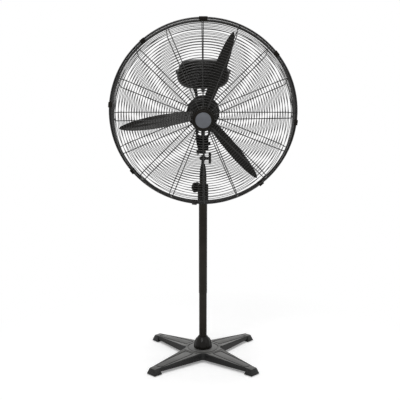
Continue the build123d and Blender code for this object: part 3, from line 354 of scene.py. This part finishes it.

# %% [markdown]
# ## Every solid gets its finish
# The record already says which slot each solid belongs to, so one loop paints them all. Three solids differ
# a little from the rest of their slot: the polished pole socket; the housing's lid, whose paint is made
# darker than the bowl's as painted shade; and the joint screw, painted over with the pole. Pieces made below
# then take the place of the solids that show the most.

# %% Paint the solids
slot_of = {part["node"]: part["material_slot"] for part in frame["record"]["subparts"]}
finish_of = {node: finishes[slot] for node, slot in slot_of.items()}
finish_of["pole_socket"] = enamel("socket_enamel", 0.008, 0.15, peel=0.006, gloss=0.14, tint=warm_black)
# The lid takes the bowl's enamel painted darker: painted shade where less light falls on it.
finish_of["housing_lid"] = enamel("lid_enamel_painted_shade", 0.003, 0.24, dust=0.0, gloss=0.02, tint=warm_black)
finish_of["joint_screw"] = finishes["pole_black"]
body_of = {node: solid["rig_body"] for node, solid in nodes.items()}
for node, solid in nodes.items():
    solid.data.materials.clear()
    solid.data.materials.append(finish_of[node])
print(f"painted {len(nodes)} solids")

# %% [markdown]
# ## From a grid of points to a piece
# Nearly every surface here is a sheet that can be numbered by rows and columns, so its faces follow from the
# grid alone. surface() joins neighbours into quads, and piece() makes the object: it merges the points that
# meet at seams and poles, turns all faces outwards, and softens shading except across real edges.

# %% Faces of a grid
def surface(rows, columns, close_rows=False, close_columns=False, copies=1):
    """Corner numbers of the quads of a rows x columns grid. A closed direction joins last to first."""
    row = np.arange(rows if close_rows else rows - 1)[:, None]
    column = np.arange(columns if close_columns else columns - 1)[None, :]
    next_row = (row + 1) % rows
    next_column = (column + 1) % columns
    quads = np.stack([row * columns + column, row * columns + next_column,
                      next_row * columns + next_column, next_row * columns + column], -1).reshape(-1, 4)
    shift = np.arange(copies)[:, None, None] * rows * columns
    return (quads[None] + shift).reshape(-1, 4)


def join(*parts):
    """Several (points, faces) pairs as one pair."""
    points, faces, count = [], [], 0
    for some_points, some_faces in parts:
        flat = np.asarray(some_points).reshape(-1, 3)
        points.append(flat)
        faces += [tuple(corner + count for corner in face) for face in some_faces]
        count += len(flat)
    return np.concatenate(points), faces


# %% A finished piece
def piece(name, points, faces, node, crease=35):
    """An object that stands for a node: it rides on the node's body and takes the node's finish."""
    mesh = bpy.data.meshes.new(name)
    faces = faces.tolist() if isinstance(faces, np.ndarray) else faces
    mesh.from_pydata(np.asarray(points).reshape(-1, 3).tolist(), [], faces)
    build = bmesh.new()
    build.from_mesh(mesh)
    bmesh.ops.remove_doubles(build, verts=build.verts, dist=1e-6)
    bmesh.ops.recalc_face_normals(build, faces=build.faces)
    build.to_mesh(mesh)
    build.free()
    return dressed(name, mesh, node, crease)


def dressed(name, mesh, node, crease=35):
    """Shades a mesh, puts it in the scene and lets it stand for its node."""
    mesh.shade_smooth()
    mesh.set_sharp_from_angle(angle=math.radians(crease))
    made = bpy.data.objects.new(name, mesh)
    bpy.context.scene.collection.objects.link(made)
    mesh.materials.append(finish_of[node])
    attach(made, body_of[node])
    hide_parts(node)
    print(f"{name}: {len(mesh.polygons)} faces")
    return made


# %% [markdown]
# ## Round wires
# A guard is bent wire welded into a basket. Each wire is a small circle carried along a path. For the rings
# the path is itself a circle, so the surface is a torus: its two angles are the grid's two directions. For
# the ribs the path lies in a plane through the fan axis, bends softly twice, and is copied round the axis.

# %% Rings and ribs
def circle(count):
    """Angles round a full turn, the last one not repeated."""
    return np.linspace(0, 2 * math.pi, count, endpoint=False)


def hoops(radii, levels, half, place, around=128, sides=8):
    """Tori: at a round the axis and b round the wire, the radius is R + h cos b and the level L + h sin b."""
    radii, levels, half = np.broadcast_arrays(radii, levels, half)
    turn = circle(around)[None, :, None]
    roll = circle(sides)[None, None, :]
    reach = radii[:, None, None] + half[:, None, None] * np.cos(roll)
    level = levels[:, None, None] + half[:, None, None] * np.sin(roll) + 0 * turn
    local = np.stack([reach * np.cos(turn), reach * np.sin(turn), level], -1)
    return place.points(local), surface(around, sides, True, True, len(radii))


def soft_path(corners, bend, steps=7):
    """A path whose corners are eased: near each corner B it runs (1-t)^2 A + 2t(1-t) B + t^2 C.

    bend is the distance from B to A and C, one for all corners or one for each.
    """
    corners = np.array(corners, float)
    bend = np.reshape(bend, (-1, 1))
    before, corner, after = corners[:-2], corners[1:-1], corners[2:]
    to_before = before - corner
    to_after = after - corner
    a = corner + bend * to_before / np.linalg.norm(to_before, axis=1, keepdims=True)
    c = corner + bend * to_after / np.linalg.norm(to_after, axis=1, keepdims=True)
    t = np.linspace(0, 1, steps)[None, :, None]
    eased = (1 - t) ** 2 * a[:, None] + 2 * t * (1 - t) * corner[:, None] + t ** 2 * c[:, None]
    return np.concatenate([corners[:1], eased.reshape(-1, corners.shape[1]), corners[-1:]])


def bent_wires(path, angles, half, place, sides=8):
    """A wire along a (radius, level) path, copied to each angle: centre + half (side cos b + up sin b)."""
    run = np.gradient(path, axis=0)
    run /= np.linalg.norm(run, axis=1, keepdims=True)
    up = np.stack([-run[:, 1], run[:, 0]], -1)
    roll = circle(sides)[None, None, :]
    angles = np.asarray(angles)[:, None, None]
    reach = (path[:, 0, None] + half * up[:, 0, None] * np.sin(roll[0]))[None]
    level = (path[:, 1, None] + half * up[:, 1, None] * np.sin(roll[0]))[None] + 0 * angles
    side = half * np.cos(roll)
    local = np.stack([reach * np.cos(angles) - side * np.sin(angles),
                      reach * np.sin(angles) + side * np.cos(angles), level], -1)
    count, length = len(angles), len(path)
    walls = surface(length, sides, False, True, count).tolist()
    caps = [tuple(range(start, start + sides)) for i in range(count)
            for start in (i * length * sides, (i + 1) * length * sides - sides)]
    return place.points(local), [tuple(face) for face in walls] + caps


# %% [markdown]
# ## Where the rings are welded
# Rings sit close together on the flat face of a guard, on the ribs' outer side, and only a few hold the
# sloping wall. Walking the rib path by its length gives each ring its radius and level, and the direction
# square to the path pushes it out by the two wires' radii, less a little where the weld sinks them together.

# %% Rings along a rib
rib_wire = 0.0040
ring_wire = 0.0026
rim_wire = 0.009
ring_pitch = 0.0112
weld_sink = 0.0006
weld = (rib_wire + ring_wire) / 2 - weld_sink


def welded_rings(path, face_end, side, wall_stops, first=0.0):
    """Radii and levels of rings: every ring_pitch up to face_end, then at shares of the wall behind it."""
    steps = np.linalg.norm(np.diff(path, axis=0), axis=1)
    length = np.concatenate([[0], np.cumsum(steps)])
    face = face_end - path[0, 0]
    wall = face + np.array(wall_stops) * (length[-1] - face)
    stops = np.concatenate([np.arange(first, face - ring_pitch / 2, ring_pitch), wall])
    run = np.gradient(path, axis=0)
    run /= np.linalg.norm(run, axis=1, keepdims=True)
    across, along = np.interp(stops, length, run[:, 0]), np.interp(stops, length, run[:, 1])
    radii = np.interp(stops, length, path[:, 0]) - side * weld * along
    return radii, np.interp(stops, length, path[:, 1]) + side * weld * across


hoop_level = rim_front - rim_wire / 2
rim_radius = guard_radius - rim_wire / 2
front_plane = front_face - ring_wire - rib_wire / 2
rear_plane = hoop_level - 0.030
rib_count = 16
rib_angles = math.pi / 2 + circle(rib_count)
print(f"rim {2000 * rim_radius:.0f} mm across")
print(f"front ribs {1000 * (front_plane - rear_plane):.0f} mm ahead of the rear ones")

# %% [markdown]
# ## The rear guard
# A shallow dish. Its sixteen ribs start on the round plate that the motor's nose passes through, run flat
# and turn up to the rim, which is the thickest wire of the fan. The plate is a pressed disc with a raised
# middle: a profile turned round the axis.

# %% Turned pieces
def turned(profile, place, around=72, closed=True):
    """A (radius, level) profile turned round a place's third direction."""
    profile = np.array(profile, float)
    turn = circle(around)[None, :]
    radius = profile[:, 0, None]
    local = np.stack([radius * np.cos(turn), radius * np.sin(turn), profile[:, 1, None] + 0 * turn], -1)
    return place.points(local), surface(len(profile), around, closed, True)


def rounded(corners, bend, steps=5):
    """A closed profile with every corner eased."""
    corners = np.array(corners, float)
    wrapped = np.concatenate([corners[-1:], corners, corners[:1]])
    return soft_path(wrapped, bend, steps)[1:-1]


# %% Build the rear guard
plate_hole = 0.0242
plate_middle = 0.058
plate_step = 0.062
plate_edge = 0.0735
plate_high, plate_ledge, plate_low = rear_plane + 0.0022, rear_plane - 0.0005, rear_plane - 0.0030
rib_start = 0.060
rear_bend = 0.014
rear_flat = guard_radius - 0.041
rear_wall = (0.02, 0.35, 0.68)
rear_path = soft_path([(rib_start, rear_plane), (rear_flat, rear_plane), (rim_radius, hoop_level)], rear_bend)
rear_radii, rear_levels = welded_rings(rear_path, rear_flat, -1, rear_wall, first=0.024)
plate_profile = rounded([(plate_hole, plate_high), (plate_middle, plate_high), (plate_step, plate_ledge),
                         (plate_edge, plate_ledge), (plate_edge, plate_low), (plate_step, plate_low),
                         (plate_hole, plate_low)], 0.0008)
rear_parts = join(
    bent_wires(rear_path, rib_angles, rib_wire / 2, fan),
    hoops(rear_radii, rear_levels, ring_wire / 2, fan),
    hoops([rim_radius], [hoop_level], rim_wire / 2, fan, 160, 14),
    turned(plate_profile, fan),
)
piece("rear_guard_wires", *rear_parts, "rear_guard")
print(f"{len(rear_radii)} rear rings, {1000 * (rear_radii[1] - rear_radii[0]):.1f} mm apart")

# %% [markdown]
# ## The front guard
# A deeper basket: a flat face, a soft bend and a sloping wall down to its own rim, which nests inside the
# rear one. Its ribs stand a hair's breadth to one side of the rear ribs, as two halves put together by hand
# always do.

# %% Build the front guard
front_rim_wire = 0.010
front_rim_radius = rim_radius - 0.0098
front_rim_level = hoop_level + 0.007
front_flat = guard_radius - 0.045
front_bend = 0.016
front_wall = (0.02, 0.17, 0.32, 0.47, 0.62, 0.77)
eye_radius = 0.046
rib_past_eye = 0.002
front_path = soft_path([(eye_radius - rib_past_eye, front_plane), (front_flat, front_plane),
                        (front_rim_radius, front_rim_level)], front_bend, 9)
front_radii, front_levels = welded_rings(front_path, front_flat, 1, front_wall, first=rib_past_eye)
front_turn = math.radians(0.9)
front_parts = join(
    bent_wires(front_path, rib_angles + front_turn, rib_wire / 2, fan),
    hoops(front_radii, front_levels, ring_wire / 2, fan),
    hoops([front_rim_radius], [front_rim_level], front_rim_wire / 2, fan, 160, 14),
)
piece("front_guard_wires", *front_parts, "front_guard")
print(f"{len(front_radii)} front rings")

# %% [markdown]
# ## The blades
# Each blade is a leaf cut from sheet, pressed hollow and twisted: steep at the root where it moves slowly,
# flatter at the tip. As a grid, one direction runs out along the radius and the other goes once round the
# thin section. The chord is a root width that falls off to a round tip plus a belly, and the pitch turns each
# section. A long pressed rib stiffens the leaf, and the edges are rolled: both are part of the section.

# %% Blade surface
first_blade = math.radians(69.9)
blade_root = 0.044
blade_flat_end = 0.096
blade_tip = 0.004 + span("blade_1", fan, 1)[1] / math.sin(first_blade)
blade_sheet = 0.002
blade_level = hoop_level + 0.016
root_chord, belly = 0.046, 0.015
root_pitch, tip_pitch = 30, 16
hollow = 0.04
rib_height, rib_width = 0.0009, 0.008


def blade_points(rows=56, columns=24):
    """Points of one blade, u out along it and v across: a chord c of root_chord sqrt(1 - u^3.5) + belly
    sin(pi u), an arch of hollow c (1 - v^2), a rib of rib_height exp(-(c v / rib_width)^2), all pitched."""
    out = np.linspace(0, 1, rows) ** 0.9
    radius = blade_root + (blade_tip - blade_root) * out
    chord = root_chord * np.sqrt(1 - 0.9995 * out ** 3.5) + belly * np.sin(math.pi * out)
    twist = np.clip((radius - blade_flat_end) / (blade_tip - blade_flat_end), 0, 1)
    pitch = np.radians((root_pitch - tip_pitch) * twist - root_pitch)[:, None]
    across = np.cos(circle(2 * columns))[None, :]
    face = np.sign(np.sin(circle(2 * columns) + 1e-9))[None, :]
    edge = np.sqrt(np.clip(1 - across ** 6, 0, 1))
    arch = hollow * chord[:, None] * (1 - across ** 2) * np.clip(4 * twist[:, None], 0, 1)
    ridge = rib_height * np.exp(-(across * chord[:, None] / rib_width) ** 2)
    ridge = ridge * np.clip(6 * (out[:, None] - 0.16), 0, 1) * np.clip(5 * (0.86 - out[:, None]), 0, 1)
    width = across * chord[:, None] / 2
    lift = blade_sheet / 2 + face * edge * blade_sheet / 2 - arch + ridge
    local = np.stack([radius[:, None] + 0 * width, width * np.cos(pitch) + lift * np.sin(pitch),
                      blade_level - width * np.sin(pitch) + lift * np.cos(pitch)], -1)
    return local


# %% Three blades
blade_grid = blade_points()
rows, columns = blade_grid.shape[:2]
blade_faces = surface(rows, columns, False, True).tolist()
blade_faces += [tuple(range(columns)), tuple(range((rows - 1) * columns, rows * columns))]
for number in range(3):
    lean = first_blade + math.radians(120 * number)
    spoke = Place(fan.start, fan.points([math.cos(lean), math.sin(lean), 0]) - fan.start,
                  fan.points([-math.sin(lean), math.cos(lean), 0]) - fan.start, ahead)
    piece(f"leaf_{number + 1}", spoke.points(blade_grid), blade_faces, f"blade_{number + 1}", crease=50)

# %% [markdown]
# ## Castings and machined pieces: the same shape with its edges broken
# No real casting or machined piece has a knife edge: the foundry breaks them and paint rounds them further,
# and that thin highlight is what makes a part look solid. Where the solid's shape is already right, a copy
# is merged, its flat faces are made whole again, and a bevel with soft shading rounds each true edge.

# %% Break the edges of a copy
def eased(node, width, segments=2, angle=32):
    """A merged copy of a node whose edges sharper than angle are rounded by width."""
    build = bmesh.new()
    build.from_mesh(nodes[node].data)
    bmesh.ops.remove_doubles(build, verts=build.verts, dist=2e-6)
    bmesh.ops.dissolve_limit(build, angle_limit=math.radians(0.6), verts=build.verts, edges=build.edges)
    mesh = bpy.data.meshes.new(f"{node}_eased")
    build.to_mesh(mesh)
    build.free()
    rough = bpy.data.objects.new("rough", mesh)
    bpy.context.scene.collection.objects.link(rough)
    bevel = rough.modifiers.new("edges", "BEVEL")
    bevel.width = width
    bevel.segments = segments
    bevel.angle_limit = math.radians(angle)
    bevel.use_clamp_overlap = True
    bevel.miter_outer = "MITER_ARC"
    result = bpy.data.meshes.new_from_object(rough.evaluated_get(bpy.context.evaluated_depsgraph_get()))
    bpy.data.objects.remove(rough)
    result.materials.clear()
    return dressed(f"{node}_eased", result, node)


for node, width in {
    "base_casting": 0.0022, "foot_pads": 0.001, "pole_socket": 0.0012, "lower_pole": 0.0004,
    "upper_pole": 0.0005, "mast_collar": 0.0010, "mast_nose": 0.0008, "tilt_bracket": 0.0010,
    "tilt_nut": 0.0006, "link_stud": 0.0005, "yoke": 0.0016, "pin_clamp_screw": 0.0006,
    "gearbox_housing": 0.0012, "gearbox_cover": 0.0008, "gearbox_screws": 0.0004, "link_rod": 0.0003,
    "rim_clips": 0.0010, "clip_screws": 0.0005, "guard_nut": 0.0008, "blade_hub": 0.0010,
    "blade_rivets": 0.0008, "hub_nut": 0.0008, "housing_struts": 0.0010, "housing_screws": 0.0005,
    "speed_knob": 0.0008, "cable_gland": 0.0006, "clutch_knob": 0.0008, "badge_clamp": 0.0006,
    "centre_bolt": 0.0005, "joint_screw": 0.0003,
}.items():
    eased(node, width)

# %% [markdown]
# ## The control housing
# Two pressed shells, bowl and lid, meet at a flange. Seen from above they are a racetrack: two half circles
# joined by straight sides. Offsetting a racetrack keeps it one, so the whole shell is a profile swept round
# it: every point is the end centre plus the profile's reach in the direction of the turn.

# %% Racetrack shells
def racetrack(profile, straight, place, around=96):
    """Sweeps a (reach, level) profile: (+-straight, 0) + reach (cos a, sin a), the sign by the end."""
    profile = np.array(profile, float)
    half = around // 2
    turn = np.concatenate([np.linspace(-0.5, 0.5, half), np.linspace(0.5, 1.5, half)]) * math.pi
    end = np.repeat([straight, -straight], half)
    reach = profile[:, 0, None]
    local = np.stack([end + reach * np.cos(turn), reach * np.sin(turn), profile[:, 1, None] + 0 * turn], -1)
    return place.points(local), surface(len(profile), around, False, True)


bowl_low, bowl_high = span("housing_bowl", head, 2)
lid_high = span("housing_lid", head, 2)[1]
housing_back = sum(span("housing_bowl", head, 1)) / 2
housing_half_depth = span("housing_bowl", head, 1)[1] - housing_back
housing_straight = 0.032
housing = head.moved(y=housing_back)
print(f"housing {1000 * (lid_high - bowl_low):.0f} mm tall, {2000 * housing_half_depth:.0f} mm deep")

# %% Bowl and lid
def shell_profile(outer, wall, bend):
    """An outer profile from the middle outwards, eased, and the same one wall thinner on the way back."""
    outside = soft_path(outer, bend, 6)
    run = np.gradient(outside, axis=0)
    run /= np.linalg.norm(run, axis=1, keepdims=True)
    inside = outside + wall * np.stack([-run[:, 1], run[:, 0]], -1)
    inside[0, 0] = 0.0
    return np.concatenate([outside, inside[::-1]])


lip = housing_half_depth
ear_radius = 0.008
ear_reach = span("housing_bowl", head, 0)[1] - ear_radius
bowl_outline = [(0, bowl_low), (lip - 0.058, bowl_low), (lip - 0.026, bowl_low + 0.009),
                (lip - 0.006, bowl_low + 0.032), (lip, bowl_low + 0.069), (lip, bowl_high)]
lid_outline = [(0, lid_high), (lip - 0.043, lid_high), (lip - 0.022, lid_high - 0.012),
               (lip - 0.011, lid_high - 0.031), (lip - 0.009, bowl_high + 0.0048),
               (lip, bowl_high + 0.0048), (lip, bowl_high + 0.0003)]


def ears(low, high):
    """Two round lugs for the flange screws, one at each end of the housing."""
    lug = rounded([(0.0001, low), (ear_radius, low), (ear_radius, high), (0.0001, high)], 0.0012)
    return [turned(lug, housing.moved(x=side * ear_reach), 32) for side in (-1, 1)]


bowl_profile = shell_profile(bowl_outline, 0.002, (0.014, 0.012, 0.012, 0.003))
lid_profile = shell_profile(lid_outline, -0.002, (0.010, 0.010, 0.008, 0.0015, 0.0012))
bowl_shell = racetrack(bowl_profile, housing_straight, housing)
lid_shell = racetrack(lid_profile, housing_straight, housing)
piece("housing_bowl_pressing", *join(bowl_shell, *ears(bowl_high - 0.010, bowl_high)), "housing_bowl")
piece("housing_lid_pressing", *join(lid_shell, *ears(bowl_high + 0.0002, bowl_high + 0.005)), "housing_lid")

# %% [markdown]
# ## The motor
# The barrel is die cast with cooling ribs. A rib is only a change of radius with angle, so the barrel is the
# turned surface again with its radius multiplied by a ripple that fades out at the shoulders. The ripple is
# a sharpened cosine, which keeps narrow crests and wide valleys.

# %% Ribbed barrel
def ribbed(profile, place, count, height, low, high, around=432):
    """A turned profile whose radius gains height * ((1 + cos(count a)) / 2)^3 between two levels."""
    profile = np.array(profile, float)
    turn = circle(around)[None, :]
    crest = ((1 + np.cos(count * turn)) / 2) ** 3
    level = profile[:, 1, None]
    inside = np.clip((level - low) / 0.003, 0, 1) * np.clip((high - level) / 0.003, 0, 1)
    radius = profile[:, 0, None] + height * crest * inside * (profile[:, 0, None] > 0.05)
    local = np.stack([radius * np.cos(turn), radius * np.sin(turn), level + 0 * turn], -1)
    return place.points(local), surface(len(profile), around, True, True)


motor_back, motor_split = span("motor_rear_shell", fan, 2)
motor_front, nose_front = 0.071, span("motor_front_shell", fan, 2)[1]
motor_radius = span("motor_front_shell", fan, 0)[1]
barrel = motor_radius - 0.0015
shaft_hole = 0.0095
nose_radius = 0.0238
barrel_bore = 0.058
rib_total, rib_rise = 36, 0.0014
flange_front = motor_split + 0.0002
front_shell = rounded([(shaft_hole, motor_front + 0.004), (shaft_hole, nose_front), (nose_radius, nose_front),
                       (nose_radius, motor_front), (0.054, motor_front), (barrel, motor_front - 0.009),
                       (barrel, motor_front - 0.013), (barrel, motor_split + 0.004),
                       (motor_radius, motor_split + 0.003), (motor_radius, flange_front),
                       (barrel_bore, flange_front), (barrel_bore, motor_front - 0.008)], 0.0011)
rear_shell = rounded([(shaft_hole, motor_back + 0.004), (barrel_bore, motor_back + 0.008),
                      (barrel_bore, motor_split), (motor_radius, motor_split),
                      (motor_radius, motor_split - 0.003), (barrel, motor_split - 0.004),
                      (barrel, motor_back + 0.014), (barrel, motor_back + 0.010),
                      (0.055, motor_back), (0.020, motor_back), (shaft_hole, motor_back)], 0.0011)
front_barrel = ribbed(front_shell, fan, rib_total, rib_rise, motor_split + 0.005, motor_front - 0.011)
rear_barrel = ribbed(rear_shell, fan, rib_total, rib_rise, motor_back + 0.012, motor_split - 0.005)
piece("motor_front_casting", *front_barrel, "motor_front_shell", crease=50)
piece("motor_rear_casting", *rear_barrel, "motor_rear_shell", crease=50)

# %% [markdown]
# ## The badge
# A plastic ring clamps the front ribs, and a plain painted disc fills it. The ring is a turned profile with
# a bead; the disc is slightly domed, so it catches a broad soft highlight instead of flashing all at once.

# %% Ring and disc
badge_back, badge_face = span("badge_ring", fan, 2)
badge_radius = span("badge_ring", fan, 0)[1]
disc_radius = span("badge_disc", fan, 0)[1]
ring_hole = 0.020
seat_radius, seat_level = disc_radius + 0.0003, badge_face - 0.0041
ring_profile = rounded([(ring_hole, badge_back), (badge_radius, badge_back),
                        (badge_radius, badge_face - 0.006), (badge_radius - 0.004, badge_face),
                        (disc_radius + 0.0035, badge_face), (seat_radius, badge_face - 0.002),
                        (seat_radius, seat_level), (ring_hole, seat_level)], 0.0012)
piece("badge_bezel", *turned(ring_profile, fan, 96), "badge_ring")
swell = np.linspace(0, 1, 9)
dome = np.stack([disc_radius * swell, badge_face - 0.0008 - 0.0018 * swell ** 2], -1)
disc_back = badge_face - 0.0040
disc_profile = np.concatenate([dome, [(disc_radius, disc_back), (0, disc_back)]])
piece("badge_plain_disc", *turned(disc_profile, fan, 96, closed=False), "badge_disc")

# %% [markdown]
# ## The height knob
# Moulded hand knobs have shallow finger lobes. In polar terms the rim's radius is a mean plus a cosine, and
# the same lobes fade towards the flat middle, so radius and level are both functions of one profile.

# %% Lobed knob
knob_joint = joints["height_knob_turn"]
stem_way = np.array(knob_joint["axis"])
knob_side = np.cross(stem_way, [0, 0, 1])
stem = Place(knob_joint["pos_m"], knob_side, [0, 0, 1], stem_way)
stem_low, knob_out = span("height_knob", stem, 2)
knob_radius = span("height_knob", stem, 1)[1]


def lobed(profile, place, lobes, depth, around=144):
    """Radius = profile radius * (1 - depth * fade * (1 - cos(lobes a)) / 2), fade growing towards the rim."""
    profile = np.array(profile, float)
    turn = circle(around)[None, :]
    share = profile[:, 0, None] / profile[:, 0].max()
    radius = profile[:, 0, None] * (1 - depth * share ** 4 * (1 - np.cos(lobes * turn)) / 2)
    local = np.stack([radius * np.cos(turn), radius * np.sin(turn), profile[:, 1, None] + 0 * turn], -1)
    return place.points(local), surface(len(profile), around, False, True)


stem_radius = 0.009
lobe_count, lobe_depth = 6, 0.16
knob_profile = soft_path([(0, stem_low), (stem_radius, stem_low), (stem_radius, knob_out - 0.020),
                          (knob_radius - 0.004, knob_out - 0.019), (knob_radius, knob_out - 0.014),
                          (knob_radius, knob_out - 0.006), (knob_radius - 0.005, knob_out),
                          (0.013, knob_out), (0.012, knob_out - 0.0015), (0, knob_out - 0.0015)], 0.0018)
piece("height_knob_moulding", *lobed(knob_profile, stem, lobe_count, lobe_depth), "height_knob")

# %% [markdown]
# ## The tilt handle
# A threaded bolt with a cross bar. Both are turned: the bolt about the tilt axis, the bar about its own
# upright axis, with swollen ends so that a hand doesn't slide off.

# %% Cross-bar handle
tilt_axis = Place(joints["tilt"]["pos_m"], [0, 1, 0], [0, 0, 1], [1, 0, 0])
bolt_low, bar_out = span("tilt_handle", tilt_axis, 2)
bar_half = span("tilt_handle", tilt_axis, 1)[1]
bar_thick = 0.0064
ear_face = 0.0081
on_axis = 0.0001
thread_radius, stem_half, collar_half = 0.004, 0.006, 0.008
bar_centre = bar_out - bar_thick
bolt_profile = rounded([(on_axis, bolt_low), (thread_radius, bolt_low), (thread_radius, ear_face),
                        (collar_half, ear_face), (collar_half, ear_face + 0.003),
                        (stem_half, ear_face + 0.004), (stem_half, bar_centre),
                        (on_axis, bar_centre)], 0.0004)
bar_profile = soft_path([(0, -bar_half), (0.004, -bar_half), (bar_thick, -bar_half + 0.003),
                         (bar_thick - 0.0006, 0), (bar_thick, bar_half - 0.003), (0.004, bar_half),
                         (0, bar_half)], 0.0012)
bar_place = post.moved(x=bar_centre, z=tilt_axis.start[2])
bolt = turned(bolt_profile, tilt_axis, 40)
bar = turned(bar_profile, bar_place, 40, closed=False)
piece("tilt_handle_bar", *join(bolt, bar), "tilt_handle")

# %% [markdown]
# ## Light, floor and camera
# The room is a pale studio: a surround that is white to the eye and to mirrors but dimmer as a source of
# light, so that colours keep their level. A large soft lamp hangs high in front, one overhead and a weak one
# on the right. The floor keeps the soft shadow and fades to white further out.

# %% Floor
shadow_reach, all_white_from = 0.40, 1.2
camera_lift = 0.25


def studio_floor(size=40.0):
    points = np.array([[-1, -1, 0], [1, -1, 0], [1, 1, 0], [-1, 1, 0]]) * size / 2
    mesh = bpy.data.meshes.new("floor")
    mesh.from_pydata(points.tolist(), [], [(0, 1, 2, 3)])
    floor = bpy.data.objects.new("floor", mesh)
    bpy.context.scene.collection.objects.link(floor)
    finish = Finish("floor_paper", Roughness=0.9, Base_Color=(0.93, 0.93, 0.93, 1.0))
    paper = Reading(finish, finish.shader.outputs[0])
    lift = finish.node("ShaderNodeEmission", {}, {"Strength": camera_lift})
    lifted = finish.node("ShaderNodeAddShader", {}, {0: paper, 1: lift})
    looked_at = finish.node("ShaderNodeLightPath", output="Is Camera Ray")
    near = finish.node("ShaderNodeMixShader", {}, {0: looked_at, 1: paper, 2: lifted})
    distance = finish.node("ShaderNodeVectorMath", {"operation": "LENGTH"}, {0: finish.place}, output="Value")
    fade = distance.mask(shadow_reach, all_white_from)
    glow = finish.node("ShaderNodeEmission", {}, {"Strength": 1.0})
    mixed = finish.node("ShaderNodeMixShader", {}, {0: fade, 1: near, 2: glow})
    output = next(n for n in finish.tree.nodes if n.type == "OUTPUT_MATERIAL")
    finish.tree.links.new(mixed.socket, output.inputs[0])
    mesh.materials.append(finish.material)


studio_floor()

# %% Surround and lamps
world = bpy.data.worlds.new("studio")
bpy.context.scene.world = world
world.use_nodes = True
surround = world.node_tree
surround.nodes.clear()
paths = surround.nodes.new("ShaderNodeLightPath")
lit = surround.nodes.new("ShaderNodeMath")
lit.operation = "SUBTRACT"
lit.inputs[0].default_value = 1.0
surround.links.new(paths.outputs["Is Diffuse Ray"], lit.inputs[1])
dim = surround.nodes.new("ShaderNodeBackground")
dim.inputs["Strength"].default_value = 0.40
white = surround.nodes.new("ShaderNodeBackground")
white.inputs["Color"].default_value = (1, 1, 1, 1)
chosen = surround.nodes.new("ShaderNodeMixShader")
world_output = surround.nodes.new("ShaderNodeOutputWorld")
surround.links.new(lit.outputs[0], chosen.inputs[0])
surround.links.new(dim.outputs[0], chosen.inputs[1])
surround.links.new(white.outputs[0], chosen.inputs[2])
surround.links.new(chosen.outputs[0], world_output.inputs[0])


def lamp(name, place, target, size, power):
    """A square soft lamp that looks at a target."""
    data = bpy.data.lights.new(name, "AREA")
    data.size = size
    data.energy = power
    holder = bpy.data.objects.new(name, data)
    bpy.context.scene.collection.objects.link(holder)
    look = np.array(target, float) - np.array(place, float)
    holder.location = place
    holder.rotation_euler = Vector(look).to_track_quat("-Z", "Y").to_euler()


lamp("key", (-0.9, -3.0, 3.6), (0, 0, 0.9), 2.0, 75)
lamp("fill", (2.8, -2.0, 1.8), (0, 0, 0.9), 2.4, 10)
lamp("top", (0, -0.2, 3.6), (0, 0, 0.8), 1.6, 50)

# %% Camera
look_down = 10.15
camera_data = bpy.data.cameras.new("view")
camera_data.sensor_width = 36
camera_data.lens = 71.2
camera = bpy.data.objects.new("view", camera_data)
bpy.context.scene.collection.objects.link(camera)
camera.location = (-0.014, -3.627, 1.4165)
camera.rotation_euler = (math.radians(90 - look_down), 0, 0)
bpy.context.scene.camera = camera
bpy.context.scene.view_settings.view_transform = "Standard"
